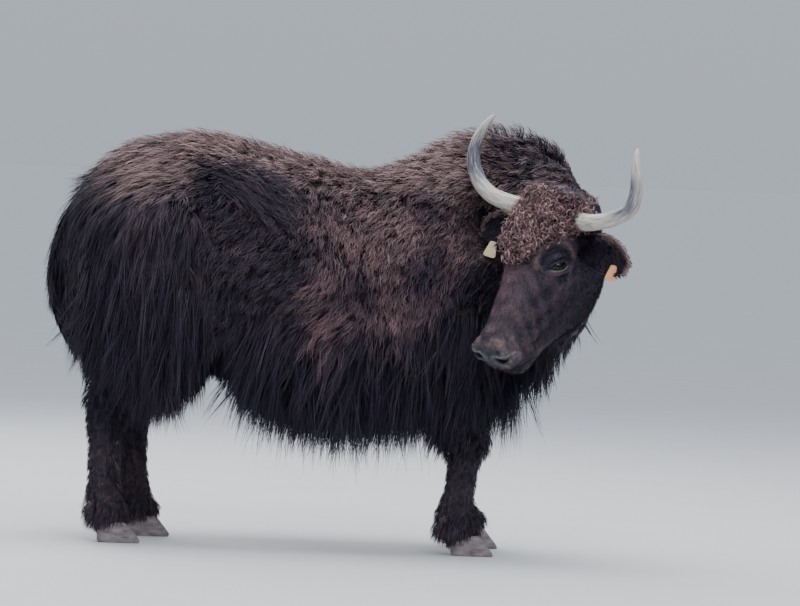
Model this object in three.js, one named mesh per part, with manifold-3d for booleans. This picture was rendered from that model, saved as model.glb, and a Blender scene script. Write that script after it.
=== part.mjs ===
// A domestic yak, life size, standing square with its head turned back to its own right.
// Millimetres. +X runs from rump to chest, +Y to the animal's left, +Z up, and the floor is z = 0.
// The trunk, neck, legs, tail and head are lofts of oval sections along smooth lines. The long coat is made
// of flat, tapered locks that are rooted in those lofts and hang along the lie of the hair.
import * as THREE from "three";
import { mergeVertices } from "three/addons/utils/BufferGeometryUtils.js";
import Module from "manifold-3d";

const wasm = await Module();
wasm.setup();

// Driving dimensions
const HUMP_TOP = 1391;
const RUMP_TOP = 1330;
const BACK_DIP = 1229;
const SKIRT_TIP = 265;
const CHEST_TIP = 378;
const GAP = 0.35;
const TO_FLOOR_CENTRE = [-77, 160, 0];

// Directions
const FORWARD = new THREE.Vector3(1, 0, 0);
const UP = new THREE.Vector3(0, 0, 1);
const DOWN = new THREE.Vector3(0, 0, -1);

const rad = THREE.MathUtils.degToRad;
const clamp = THREE.MathUtils.clamp;
const vec = (x, y, z) => new THREE.Vector3(x, y, z);

// A seeded draw, so that every build gives the same coat
function seeded(seed) {
  let state = seed >>> 0;
  return () => {
    state = (Math.imul(state, 1664525) + 1013904223) >>> 0;
    return state / 4294967296;
  };
}

// Catmull-Rom through rows of numbers, with u counted in rows
function between(rows, u) {
  const last = rows.length - 1;
  const at = clamp(u, 0, last);
  const i = Math.min(Math.floor(at), last - 1);
  const t = at - i;
  const row = (k) => rows[clamp(k, 0, last)];
  return rows[0].map((_, c) => {
    const [a, b, d, e] = [row(i - 1)[c], row(i)[c], row(i + 1)[c], row(i + 2)[c]];
    const linear = (d - a) * t;
    const square = (2 * a - 5 * b + 4 * d - e) * t * t;
    const cube = (3 * b - a - 3 * d + e) * t * t * t;
    return b + (linear + square + cube) / 2;
  });
}

// A loft of oval sections. A station gives the centre, half width, height above and below the centre,
// and how square the upper and lower halves are: 2 is an ellipse, more is boxier, less is a ridge.
class Loft {
  constructor(stations, reference) {
    this.reference = reference;
    this.last = stations.length - 1;
    this.rows = stations.map((s, i) => {
      const before = vec(...stations[Math.max(i - 1, 0)].at);
      const after = vec(...stations[Math.min(i + 1, this.last)].at);
      const along = s.along ?? after.sub(before).normalize().toArray();
      return [...s.at, ...along, s.wide, s.above, s.below, s.squareUp ?? 2, s.squareDown ?? 2];
    });
  }

  frame(u) {
    const along = vec(...between(this.rows, u).slice(3, 6)).normalize();
    const side = new THREE.Vector3().crossVectors(this.reference, along).normalize();
    return { along, side, up: new THREE.Vector3().crossVectors(along, side) };
  }

  // The surface point at u along the loft and an angle round it: 0 is the left and a quarter turn is up
  point(u, angle, grow = 0) {
    const [x, y, z, , , , wide, above, below, squareUp, squareDown] = between(this.rows, u);
    const { side, up } = this.frame(u);
    const c = Math.cos(angle);
    const s = Math.sin(angle);
    const power = 2 / (s > 0 ? squareUp : squareDown);
    const sideways = (wide + grow) * Math.sign(c) * Math.abs(c) ** power;
    const upward = ((s > 0 ? above : below) + grow) * Math.sign(s) * Math.abs(s) ** power;
    return vec(x, y, z).addScaledVector(side, sideways).addScaledVector(up, upward);
  }

  normal(u, angle) {
    const du = 0.02;
    const da = 0.03;
    const low = clamp(u, du, this.last - du);
    const along = this.point(low + du, angle).sub(this.point(low - du, angle));
    const round = this.point(low, angle + da).sub(this.point(low, angle - da));
    return round.cross(along).normalize();
  }

  geometry(around, along, grow = 0) {
    const points = [];
    const faces = [];
    for (let i = 0; i <= along; i++) {
      const u = (i / along) * this.last;
      const { along: ahead } = this.frame(u);
      const pushed = i === 0 ? -grow : i === along ? grow : 0;
      for (let j = 0; j < around; j++) {
        points.push(this.point(u, (j / around) * 2 * Math.PI, grow).addScaledVector(ahead, pushed));
      }
    }
    const start = points.length;
    const end = start + 1;
    const { along: first } = this.frame(0);
    const { along: final } = this.frame(this.last);
    points.push(vec(...this.rows[0].slice(0, 3)).addScaledVector(first, -grow));
    points.push(vec(...this.rows[this.last].slice(0, 3)).addScaledVector(final, grow));
    for (let j = 0; j < around; j++) {
      const next = (j + 1) % around;
      for (let i = 0; i < along; i++) {
        const [a, b] = [i * around + j, i * around + next];
        faces.push([a, b, a + around], [b, b + around, a + around]);
      }
      faces.push([start, next, j], [end, along * around + j, along * around + next]);
    }
    return meshOf(points, faces);
  }
}

function meshOf(points, faces) {
  const geometry = new THREE.BufferGeometry();
  const positions = new Float32Array(points.flatMap((p) => [p.x, p.y, p.z]));
  geometry.setAttribute("position", new THREE.BufferAttribute(positions, 3));
  geometry.setIndex(faces.flat());
  return geometry;
}

// Between three.js geometry and manifold solids
function solid(geometry) {
  const bare = geometry.clone();
  bare.deleteAttribute("normal");
  bare.deleteAttribute("uv");
  const merged = mergeVertices(bare, 1e-3);
  return new wasm.Manifold(
    new wasm.Mesh({
      numProp: 3,
      vertProperties: merged.attributes.position.array,
      triVerts: new Uint32Array(merged.index.array),
    }),
  );
}

function geometryOf(made) {
  const { numProp, vertProperties, triVerts } = made.getMesh();
  const positions = new Float32Array((vertProperties.length / numProp) * 3);
  for (let i = 0; i < positions.length / 3; i++) {
    positions.set(vertProperties.subarray(i * numProp, i * numProp + 3), i * 3);
  }
  const geometry = new THREE.BufferGeometry();
  geometry.setAttribute("position", new THREE.BufferAttribute(positions, 3));
  geometry.setIndex(new THREE.BufferAttribute(new Uint32Array(triVerts), 1));
  geometry.computeVertexNormals();
  return geometry;
}

const joined = (solids) => solids.reduce((whole, s) => whole.add(s));
const cutBy = (body, solids) => solids.reduce((rest, s) => rest.subtract(s), body);

const largest = (made) => made.decompose().reduce((a, b) => (b.volume() > a.volume() ? b : a));

// A node keeps its largest closed surface, which fills the hollows that joining seals, also those that touch
// it at one corner, and drops the scraps that a cut leaves behind
function closedSurface(made) {
  let geometry = geometryOf(made).translate(...TO_FLOOR_CENTRE);
  let remade = solid(geometry);
  while (remade.decompose().length > 1) {
    geometry = geometryOf(largest(remade));
    remade = solid(geometry);
  }
  return geometry;
}

// An ellipsoid with its own axes
function ellipsoid(centre, radii, axes, segments = 14) {
  const ball = new THREE.SphereGeometry(1, segments, Math.round(segments * 0.7));
  const matrix = new THREE.Matrix4().makeBasis(
    axes[0].clone().multiplyScalar(radii[0]),
    axes[1].clone().multiplyScalar(radii[1]),
    axes[2].clone().multiplyScalar(radii[2]),
  );
  matrix.setPosition(centre);
  return ball.applyMatrix4(matrix);
}

// Trunk: from the buttocks to the point of the shoulder
const TRUNK = new Loft(
  [
    { at: [-796, 0, 885], wide: 60, above: 105, below: 95 },
    { at: [-772, 0, 885], wide: 160, above: 215, below: 190 },
    { at: [-725, 0, 880], wide: 215, above: 322, below: 230 },
    { at: [-660, 0, 870], wide: 248, above: 402, below: 260 },
    { at: [-560, 0, 860], wide: 270, above: 448, below: 280, squareUp: 1.9 },
    { at: [-400, 0, 850], wide: 285, above: RUMP_TOP - 848, below: 290, squareUp: 1.8 },
    { at: [-200, 0, 830], wide: 308, above: 468, below: 310, squareUp: 1.75, squareDown: 2.2 },
    { at: [0, 0, 820], wide: 330, above: 438, below: 350, squareUp: 1.75, squareDown: 2.4 },
    { at: [200, 0, 820], wide: 336, above: BACK_DIP - 822, below: 365, squareUp: 1.75, squareDown: 2.4 },
    { at: [380, 0, 840], wide: 320, above: 440, below: 355, squareUp: 1.65, squareDown: 2.2 },
    { at: [540, 0, 870], wide: 282, above: 492, below: 345, squareUp: 1.55, squareDown: 2.1 },
    { at: [655, 0, 890], wide: 235, above: HUMP_TOP - 890, below: 320, squareUp: 1.5 },
    { at: [750, 0, 880], wide: 170, above: 400, below: 270, squareUp: 1.6 },
    { at: [812, 0, 850], wide: 70, above: 170, below: 150 },
  ],
  UP,
);

// Neck: deep at the shoulder and bent round to the right, so its sections fan about an upright line
const NECK_PIVOT = [560, -330];
const neckStation = (turn, radius, z, wide, above, below, squareUp) => {
  const out = [Math.sin(rad(turn)), Math.cos(rad(turn))];
  return {
    at: [NECK_PIVOT[0] + out[0] * radius, NECK_PIVOT[1] + out[1] * radius, z],
    along: [out[1], -out[0], 0],
    wide,
    above,
    below,
    squareUp,
  };
};

const NECK = new Loft(
  [
    neckStation(-8, 322, 990, 180, 250, 330),
    neckStation(20, 318, 975, 215, 372, 375, 1.6),
    neckStation(45, 298, 960, 200, 352, 355, 1.7),
    neckStation(68, 262, 965, 172, 275, 290, 1.8),
    neckStation(88, 232, 995, 135, 190, 215),
    neckStation(104, 215, 1020, 80, 100, 125),
  ],
  UP,
);

// The head has its own frame: s runs from the poll to the muzzle, l to its left and u out of the forehead
const POLL = vec(755, -420, 1162);
const HEAD_YAW = rad(-152.6);
const HEAD_PITCH = rad(65.2);
const HEAD_ROLL = rad(-20.9);

function headAxes() {
  const level = vec(Math.cos(HEAD_YAW), Math.sin(HEAD_YAW), 0);
  const s = level.multiplyScalar(Math.cos(HEAD_PITCH)).addScaledVector(DOWN, Math.sin(HEAD_PITCH));
  const l = new THREE.Vector3().crossVectors(UP, s).normalize().applyAxisAngle(s, HEAD_ROLL);
  return [s, l, new THREE.Vector3().crossVectors(s, l)];
}

const HEAD_AXES = headAxes();
const headVector = (...shares) =>
  shares.reduce((sum, share, i) => sum.addScaledVector(HEAD_AXES[i], share), vec(0, 0, 0));
const onHead = (s, l, u) => POLL.clone().add(headVector(s, l, u));

// A head section, by its place along the head, half width, and the lines of its upper and lower edges
const headStation = (s, wide, top, bottom, squareUp, squareDown) => {
  const middle = top - (top - bottom) * 0.42;
  return {
    at: onHead(s, 0, middle).toArray(),
    along: HEAD_AXES[0].toArray(),
    wide,
    above: top - middle,
    below: middle - bottom,
    squareUp,
    squareDown,
  };
};

// Skull, face and upper lip
const SKULL = new Loft(
  [
    headStation(-80, 30, -80, -130, 2, 2),
    headStation(-58, 82, -30, -180, 2.2, 2),
    headStation(-10, 116, 4, -215, 2.5, 2),
    headStation(60, 128, 20, -250, 2.7, 2),
    headStation(140, 124, 18, -268, 2.7, 1.9),
    headStation(215, 114, 8, -258, 2.6, 1.8),
    headStation(290, 96, -2, -228, 2.5, 1.9),
    headStation(370, 82, -8, -178, 2.4, 2),
    headStation(445, 78, -12, -150, 2.3, 2.2),
    headStation(505, 81, -16, -136, 2.4, 2.4),
    headStation(538, 68, -32, -124, 2.5, 2.4),
    headStation(553, 36, -62, -106, 2, 2),
  ],
  HEAD_AXES[2],
);

// Lower jaw, from its deep angle under the eye to the chin
const JAW = new Loft(
  [
    headStation(20, 40, -150, -230, 2, 2),
    headStation(70, 92, -110, -325, 2, 2),
    headStation(150, 104, -110, -366, 2, 1.9),
    headStation(225, 98, -120, -372, 2, 1.9),
    headStation(300, 82, -130, -344, 2, 1.9),
    headStation(380, 66, -130, -284, 2, 1.9),
    headStation(440, 66, -128, -236, 2, 2),
    headStation(495, 70, -128, -206, 2.2, 2.2),
    headStation(528, 58, -128, -194, 2.2, 2.2),
    headStation(543, 30, -138, -176, 2, 2),
  ],
  HEAD_AXES[2],
);

// The face's smaller forms: a brow and a ring of lids round each eye, rimmed nostrils, and a lower lip
const BROW = { at: [180, 90, -26], radii: [44, 22, 20] };
const LIDS = { radii: [28, 20, 26], tube: 0.27, out: [0, 0.86, 0.5], forward: 8 };
const NOSTRIL = { at: [524, 45, -48], rim: [22, 22, 20], pit: [16, 13, 12], forward: [12, 5, 3] };
const LOWER_LIP = { at: [508, 0, -152], radii: [34, 66, 22] };

const faceLump = (s, l, u, radii) => solid(ellipsoid(onHead(s, l, u), radii, HEAD_AXES, 6));

function lids(side) {
  const out = headVector(LIDS.out[0], side * LIDS.out[1], LIDS.out[2]).normalize();
  const axes = [HEAD_AXES[0], new THREE.Vector3().crossVectors(out, HEAD_AXES[0]), out];
  const scaled = axes.map((axis, i) => axis.clone().multiplyScalar(LIDS.radii[i]));
  const matrix = new THREE.Matrix4().makeBasis(...scaled);
  matrix.setPosition(eyeAt(side).addScaledVector(out, LIDS.forward));
  return solid(new THREE.TorusGeometry(1, LIDS.tube, 4, 9).applyMatrix4(matrix));
}

// The line of the mouth, in s and u, from in front of the lips back to its corner: a groove of even depth
const MOUTH_LINE = [[575, -112], [545, -124], [505, -134], [472, -147], [446, -164]];
const MOUTH = { gape: 5, depth: 9, reach: 110 };

function mouthGroove() {
  const half = MOUTH.gape / 2;
  const upper = MOUTH_LINE.slice(0, -1).map(([s, u]) => [s, u + half]);
  const lower = MOUTH_LINE.slice(0, -1).map(([s, u]) => [s, u - half]);
  const outline = [...upper, MOUTH_LINE[MOUTH_LINE.length - 1], ...lower.reverse()];
  const [s, l, u] = HEAD_AXES;
  const slot = region(outline, [-MOUTH.reach, MOUTH.reach], [s, u, l.clone().negate()], POLL, 0);
  return cutBy(slot, [SKULL, JAW].map((loft) => solid(loft.geometry(8, 6, -MOUTH.depth))));
}

function face() {
  const forms = [solid(SKULL.geometry(22, 15)), solid(JAW.geometry(12, 8))];
  forms.push(faceLump(...LOWER_LIP.at, LOWER_LIP.radii));
  const pits = [];
  for (const side of [1, -1]) {
    const [s, l, u] = NOSTRIL.at;
    const [ahead, aside, above] = NOSTRIL.forward;
    forms.push(faceLump(BROW.at[0], side * BROW.at[1], BROW.at[2], BROW.radii), lids(side));
    forms.push(faceLump(s, side * l, u, NOSTRIL.rim));
    pits.push(faceLump(s + ahead, side * (l + aside), u + above, NOSTRIL.pit));
  }
  return cutBy(joined(forms), [...pits, mouthGroove()]);
}

// Horns: out level with the brow, then up and forward, and in at the tips
const HORN_ROUTE = [
  [38, 100, -40, 28],
  [40, 150, -28, 28],
  [42, 190, -8, 27],
  [36, 235, 6, 26],
  [12, 290, 6, 25],
  [-16, 326, 8, 24.5],
  [-45, 345, 20, 23.5],
  [-82, 350, 38, 21],
  [-118, 343, 54, 18.5],
  [-155, 330, 64, 14.5],
  [-188, 317, 66, 9.5],
  [-206, 309, 64, 5],
];

function hornLoft(side) {
  const stations = HORN_ROUTE.map(([s, l, u, r]) => ({
    at: onHead(s, side * l, u).toArray(),
    wide: r,
    above: r * 0.92,
    below: r * 0.92,
  }));
  return new Loft(stations, HEAD_AXES[2]);
}

// Eyes, each a ball set in its socket
const EYE = { at: [196, 101, -50], radius: 23 };
const eyeAt = (side) => onHead(EYE.at[0], side * EYE.at[1], EYE.at[2]);

function eyeBall(side, grow = 0) {
  const radius = EYE.radius + grow;
  return solid(ellipsoid(eyeAt(side), [radius, radius, radius], HEAD_AXES, 10));
}

// Ears: a leaf that droops out to the side, hollowed to a cup that opens forward
const EAR_ROUTE = [
  [88, 105, -92, 24, 24],
  [98, 145, -88, 36, 30],
  [106, 195, -84, 52, 32],
  [114, 240, -88, 56, 28],
  [124, 285, -98, 42, 20],
  [134, 318, -110, 14, 8],
];

const EAR_WALL = 7;

// The hollow starts a little out from the root and is open towards the front
function earLoft(side, hollow) {
  const route = hollow ? EAR_ROUTE.slice(1) : EAR_ROUTE;
  const stations = route.map(([s, l, u, width, depth]) => ({
    at: onHead(s, side * (l + (hollow ? 4 : 0)), u + (hollow ? 26 : 0)).toArray(),
    wide: Math.max(width - (hollow ? EAR_WALL : 0), 4),
    above: Math.max(depth, 4),
    below: Math.max(depth + (hollow ? 26 - EAR_WALL - 6 : 0), 4),
  }));
  return new Loft(stations, headVector(0.25, 0, 1));
}

function ear(side, grow = 0) {
  const outer = solid(earLoft(side, false).geometry(8, 7, grow));
  return grow > 0 ? outer : outer.subtract(solid(earLoft(side, true).geometry(8, 6)));
}

// Ear tags: a plain tapered plate on each ear
const TAG = { wide: 40, high: 52, thick: 3, corner: 8 };
const TAG_PLACES = {
  left: { at: [160, 276, -100], across: [0.2, -0.3, 1] },
  right: { at: [186, 226, -92], across: [0.1, -0.7, 0.64] },
};

function tagPlate(centre, axes, grow = 0) {
  const w = TAG.wide / 2 + grow;
  const h = TAG.high / 2 + grow;
  const r = TAG.corner;
  const outline = new THREE.Shape();
  outline.moveTo(-w + r, -h);
  outline.lineTo(w - r, -h);
  outline.quadraticCurveTo(w, -h, w, -h + r);
  outline.lineTo(w * 0.6, h - r);
  outline.quadraticCurveTo(w * 0.6, h, w * 0.6 - r, h);
  outline.lineTo(-w * 0.6 + r, h);
  outline.quadraticCurveTo(-w * 0.6, h, -w * 0.6, h - r);
  outline.lineTo(-w, -h + r);
  outline.quadraticCurveTo(-w, -h, -w + r, -h);
  const plate = new THREE.ExtrudeGeometry(outline, {
    depth: TAG.thick + 2 * grow,
    bevelEnabled: false,
    curveSegments: 2,
  });
  plate.translate(0, 0, -TAG.thick / 2 - grow);
  plate.applyMatrix4(new THREE.Matrix4().makeBasis(...axes).setPosition(centre));
  return plate;
}

// Legs
const legStation = (x, y, z, wide, front, back, square = 2) => ({
  at: [x, y, z],
  wide,
  above: front,
  below: back,
  squareUp: square,
  squareDown: square,
});

const LEGS = {
  foreleg_left: { hoofX: 560, y: 165, front: true },
  foreleg_right: { hoofX: 540, y: -165, front: true },
  hindleg_left: { hoofX: -520, y: 160, front: false },
  hindleg_right: { hoofX: -600, y: -160, front: false },
};

function legLoft({ hoofX, y, front }) {
  const stations = front
    ? [
        legStation(hoofX - 60, y * 0.9, 860, 50, 60, 60),
        legStation(hoofX - 55, y * 1.08, 780, 108, 125, 150),
        legStation(hoofX - 50, y * 1.08, 650, 108, 120, 140),
        legStation(hoofX - 42, y * 1.04, 520, 88, 92, 108),
        legStation(hoofX - 26, y, 410, 64, 66, 78),
        legStation(hoofX - 20, y, 345, 54, 60, 60),
        legStation(hoofX - 28, y, 285, 46, 50, 50),
        legStation(hoofX - 38, y, 205, 41, 45, 48),
        legStation(hoofX - 44, y, 145, 45, 48, 62),
        legStation(hoofX - 36, y, 98, 55, 66, 72),
        legStation(hoofX - 12, y, 66, 58, 66, 68),
        legStation(hoofX - 2, y, 50, 48, 54, 56),
      ]
    : [
        legStation(hoofX + 125, y * 0.9, 1140, 50, 80, 80),
        legStation(hoofX + 112, y * 1.08, 1040, 112, 195, 170),
        legStation(hoofX + 90, y * 1.12, 880, 135, 240, 210),
        legStation(hoofX + 58, y * 1.12, 710, 125, 215, 185),
        legStation(hoofX + 18, y * 1.06, 570, 94, 142, 132),
        legStation(hoofX - 26, y, 475, 66, 82, 80),
        legStation(hoofX - 48, y, 410, 52, 62, 62),
        legStation(hoofX - 48, y, 320, 45, 52, 50),
        legStation(hoofX - 44, y, 215, 44, 50, 50),
        legStation(hoofX - 38, y, 135, 52, 58, 64),
        legStation(hoofX - 14, y, 78, 58, 64, 68),
        legStation(hoofX - 4, y, 52, 50, 54, 56),
      ];
  return new Loft(stations, FORWARD);
}

// Tail: a short dock, and the dense inner part of the brush that hangs behind the thighs
const TAIL = new Loft(
  [
    { at: [-640, 0, 1150], wide: 26, above: 28, below: 28 },
    { at: [-730, 0, 1110], wide: 40, above: 34, below: 34 },
    { at: [-796, 0, 1020], wide: 52, above: 30, below: 32 },
    { at: [-826, 0, 880], wide: 68, above: 30, below: 30 },
    { at: [-824, 0, 740], wide: 70, above: 30, below: 30 },
    { at: [-806, 0, 620], wide: 48, above: 24, below: 24 },
    { at: [-794, 0, 560], wide: 14, above: 8, below: 8 },
  ],
  FORWARD,
);

// The dense inner part of the long hair under the belly and the chest: a curtain that hangs from a line along
// the body and ends half way to the tips. A station is a place on that line, the curtain's half thickness,
// its reach above the line and the height of the tips
const CORE_SHARE = 0.5;

const hang = (x, y, z, thick, above, tip) => ({
  at: [x, y, z],
  wide: thick,
  above,
  below: (z - tip) * CORE_SHARE,
});

const BELLY_LINE = [
  hang(-225, 216, 610, 20, 40, 500),
  hang(-120, 238, 600, 50, 80, 360),
  hang(0, 250, 590, 58, 90, 300),
  hang(130, 256, 585, 60, 90, SKIRT_TIP),
  hang(250, 250, 590, 56, 90, SKIRT_TIP + 10),
  hang(345, 232, 610, 22, 60, 400),
];

const CHEST_LINE = [
  hang(612, 0, 620, 24, 50, 520),
  hang(655, 0, 635, 66, 90, 440),
  hang(705, -8, 650, 84, 100, CHEST_TIP),
  hang(765, -20, 690, 84, 100, 480),
  hang(820, -40, 745, 56, 90, 610),
  hang(845, -55, 790, 20, 40, 740),
];

function curtain(stations, side = 1) {
  const placed = stations.map((s) => ({ ...s, at: [s.at[0], s.at[1] * side, s.at[2]] }));
  const last = placed.length - 1;
  placed.forEach((station, i) => {
    const [a, b] = [placed[Math.max(i - 1, 0)].at, placed[Math.min(i + 1, last)].at];
    station.along = vec(b[0] - a[0], b[1] - a[1], 0).normalize().toArray();
  });
  return new Loft(placed, UP);
}

const CHEST = curtain(CHEST_LINE);

// One claw of a hoof: long at the toe, rounded at the heel and flat on the floor
const CLAW = { toe: 80, heel: 54, width: 47, height: 66, apart: 24.5 };

function claw(hoofX, y, grow = 0) {
  const { toe, heel, width, height } = CLAW;
  const level = (z, toeReach, heelReach, across) => ({
    at: [hoofX, y, z],
    wide: across / 2,
    above: toeReach,
    below: heelReach,
    squareUp: 2,
    squareDown: 2.6,
  });
  const stations = [
    level(0, toe, heel - 6, width - 2),
    level(8, toe, heel, width),
    level(height * 0.55, toe * 0.72, heel, width - 1),
    level(height, toe * 0.42, heel - 8, width - 6),
  ];
  return solid(new Loft(stations, FORWARD).geometry(8, 3, grow));
}

const DEWCLAW = { back: 76, z: 112, apart: 24, radii: [20, 15, 24] };

function dewclaw({ hoofX }, y, grow = 0) {
  const radii = DEWCLAW.radii.map((r) => r + grow);
  return solid(ellipsoid(vec(hoofX - DEWCLAW.back, y, DEWCLAW.z), radii, [FORWARD, vec(0, 1, 0), UP], 5));
}

// The shift along and round a loft that moves a point of its surface by the given vector
function shiftOn(loft, u, angle, move) {
  const tiny = 0.02;
  const along = loft.point(u + tiny, angle).sub(loft.point(u - tiny, angle)).divideScalar(2 * tiny);
  const round = loft.point(u, angle + tiny).sub(loft.point(u, angle - tiny)).divideScalar(2 * tiny);
  const [aa, ar, rr] = [along.dot(along), along.dot(round), round.dot(round)];
  const [am, rm] = [along.dot(move), round.dot(move)];
  const share = aa * rr - ar * ar;
  return [(am * rr - rm * ar) / share, (rm * aa - am * ar) / share];
}

// The way of a lock from its root: over the surface along the lie of the hair, and straight on through the
// air from where the surface turns under
const PATH_STEPS = 8;
const TURN_UNDER = -0.3;

function hairPath(loft, root, lie, length) {
  let [u, angle] = root;
  const path = [{ position: loft.point(u, angle), normal: loft.normal(u, angle) }];
  for (let k = 0; k < PATH_STEPS; k++) {
    const { position, normal } = path[k];
    const step = lie.clone().setLength(length / PATH_STEPS);
    if (normal.z < TURN_UNDER) {
      path.push({ position: position.clone().add(step), normal });
      continue;
    }
    const over = step.addScaledVector(normal, -step.dot(normal)).setLength(length / PATH_STEPS);
    const [du, turn] = shiftOn(loft, u, angle, over);
    u = clamp(u + du, 0.05, loft.last - 0.05);
    angle += turn;
    path.push({ position: loft.point(u, angle), normal: loft.normal(u, angle) });
  }
  return path;
}

// Rings of a lock from root to tip: how far along it, and the share of its width and of its lift
const LOCK_RINGS = [
  [0, 0.9, -1],
  [0.3, 1, 0.3],
  [0.7, 0.7, 0.7],
];
const LOCK_SINK = 22;
const LOCK_THICKNESS = 0.22;

// A lock: a flat, tapered strip with a low ridge along it, its root sunk in the loft and its tip lifted
function lock(path, width, thick, lift) {
  const pick = (share) => {
    const at = Math.min(share * PATH_STEPS, PATH_STEPS - 0.001);
    const i = Math.floor(at);
    const [a, b] = [path[i], path[i + 1]];
    const along = b.position.clone().sub(a.position).normalize();
    const side = new THREE.Vector3().crossVectors(a.normal, along).normalize();
    const out = new THREE.Vector3().crossVectors(along, side);
    return { position: a.position.clone().lerp(b.position, at - i), side, out };
  };
  const points = [];
  for (const [share, broad, raised] of LOCK_RINGS) {
    const { position, side, out } = pick(share);
    position.addScaledVector(out, raised < 0 ? raised * LOCK_SINK : raised * lift);
    for (const [across, raise] of [[0.5, 0], [0, 1], [-0.5, 0]]) {
      const corner = position.clone().addScaledVector(side, across * width * broad);
      points.push(corner.addScaledVector(out, raise * thick * broad));
    }
  }
  const tip = pick(1);
  points.push(tip.position.addScaledVector(tip.out, lift));
  const faces = [[0, 2, 1]];
  const end = points.length - 1;
  for (let j = 0; j < 3; j++) {
    const next = (j + 1) % 3;
    for (let i = 0; i < end - 3; i += 3) {
      faces.push([i + j, i + next, i + 3 + j], [i + next, i + 3 + next, i + 3 + j]);
    }
    faces.push([end - 3 + j, end - 3 + next, end]);
  }
  return solid(meshOf(points, faces));
}

// A row of locks on a loft, from one place on it to another. The lie is the way the hair hangs, and the
// lengths are spread evenly along the row
const draw = seeded(20);
const spread = (amount) => (draw() * 2 - 1) * amount;

function lockRow(loft, row, mirror) {
  const { from, to, count, lengths, width, lift = 20, lie = [-0.12, 0, -1] } = row;
  const rows = lengths.map((length) => [length]);
  const locks = [];
  for (let i = 0; i < count; i++) {
    const along = clamp((i + 0.5 + spread(0.3)) / count, 0, 1);
    const u = from[0] + (to[0] - from[0]) * along;
    const angle = rad(from[1] + (to[1] - from[1]) * along + spread(3));
    const [length] = between(rows, along * (rows.length - 1));
    const way = vec(lie[0] + spread(0.12), (lie[1] + spread(0.08)) * (mirror ? -1 : 1), lie[2]);
    const path = hairPath(loft, [u, mirror ? Math.PI - angle : angle], way, length * (1 + spread(0.1)));
    const broad = width * (1 + spread(0.2));
    locks.push(lock(path, broad, broad * LOCK_THICKNESS, lift * (1 + spread(0.3))));
  }
  return locks;
}

// Rows on the left of the trunk, mirrored to the right: the skirt under the belly, the flank above it, the
// hip and the rump
const SKIRT_LENGTHS = [190, 330, 370, 370, 320];
const TRUNK_ROWS = [
  { from: [6, -30], to: [9.1, -30], count: 10, lengths: SKIRT_LENGTHS, width: 88, lie: [-0.1, -0.1, -1] },
  { from: [5.7, -8], to: [8.9, -8], count: 5, lengths: [250], width: 130, lift: 12 },
  { from: [3.6, 34], to: [5.4, 34], count: 3, lengths: [200], width: 110, lie: [-0.5, 0, -1] },
  { from: [1.6, 20], to: [3.2, 24], count: 2, lengths: [260], width: 120, lie: [-0.25, 0, -1] },
];

// Rows on each leg, by the angle from its outer side towards the front: long hair over the forearm and the
// thigh that ends above the knee and the hock
const LEG_ROWS = {
  fore: [
    { from: [1.4, -70], to: [1.4, 60], count: 3, lengths: [220], width: 106 },
    { from: [2.6, -110], to: [2.6, 100], count: 5, lengths: [220], width: 82, lift: 14 },
  ],
  hind: [
    { from: [1.6, -60], to: [1.6, 60], count: 3, lengths: [300], width: 140 },
    { from: [3.1, -90], to: [2.9, 90], count: 5, lengths: [220, 260, 330], width: 112 },
  ],
};

const NECK_ROWS = [
  { from: [0.9, 50], to: [3.0, 40], count: 2, lengths: [220], width: 120 },
  { from: [0.8, 5], to: [2.7, 0], count: 3, lengths: [220], width: 120 },
  { from: [0.9, 130], to: [2.6, 135], count: 2, lengths: [200], width: 120, lie: [-0.3, 0, -1] },
  { from: [1.2, 175], to: [2.9, 180], count: 3, lengths: [200], width: 96 },
];

const CHEST_ROW = {
  from: [0.7, 30],
  to: [4.5, 30],
  count: 5,
  lengths: [200, 280, 320, 270, 190, 140],
  width: 78,
  lift: 10,
};

// Rows down the back of the tail, clear of the rump
const TAIL_ROWS = [
  { from: [2.1, 225], to: [2.1, 315], count: 3, lengths: [250], width: 64, lift: 12, lie: [-0.08, 0, -1] },
  { from: [3.0, 205], to: [3.0, 335], count: 4, lengths: [250], width: 60, lift: 10, lie: [0, 0, -1] },
  { from: [4.1, 205], to: [4.1, 335], count: 4, lengths: [262], width: 60, lift: 8, lie: [0.1, 0, -1] },
];

// The curly forelock: rounded clumps set close over the brow, from the poll down to the eyes
const CURLS = { from: -42, to: 158, rows: 4, across: 5, reach: rad(56), radii: [35, 31, 23], sunk: 2 };

function forelock() {
  const clumps = [];
  for (let row = 0; row < CURLS.rows; row++) {
    const s = CURLS.from + ((CURLS.to - CURLS.from) * row) / (CURLS.rows - 1);
    for (let i = 0; i < CURLS.across; i++) {
      const share = ((i + (row % 2) * 0.5 + 0.25) / CURLS.across) * 2 - 1 + spread(0.06);
      const angle = Math.PI / 2 + share * CURLS.reach;
      const u = skullPlace(s + spread(6));
      const normal = SKULL.normal(u, angle);
      const side = new THREE.Vector3().crossVectors(normal, HEAD_AXES[0]).normalize();
      const axes = [new THREE.Vector3().crossVectors(side, normal), side, normal];
      const radii = CURLS.radii.map((r) => r * (1 + spread(0.15)));
      const centre = SKULL.point(u, angle).addScaledVector(normal, -CURLS.sunk);
      clumps.push(solid(ellipsoid(centre, radii, axes, 5)));
    }
  }
  return clumps;
}

// Where along the skull's loft a place s of the head's frame lies
function skullPlace(s) {
  const along = SKULL.rows.map((row) => vec(...row.slice(0, 3)).sub(POLL).dot(HEAD_AXES[0]));
  const i = clamp(along.findIndex((value) => value > s), 1, along.length - 1);
  return i - 1 + (s - along[i - 1]) / (along[i] - along[i - 1]);
}

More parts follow.
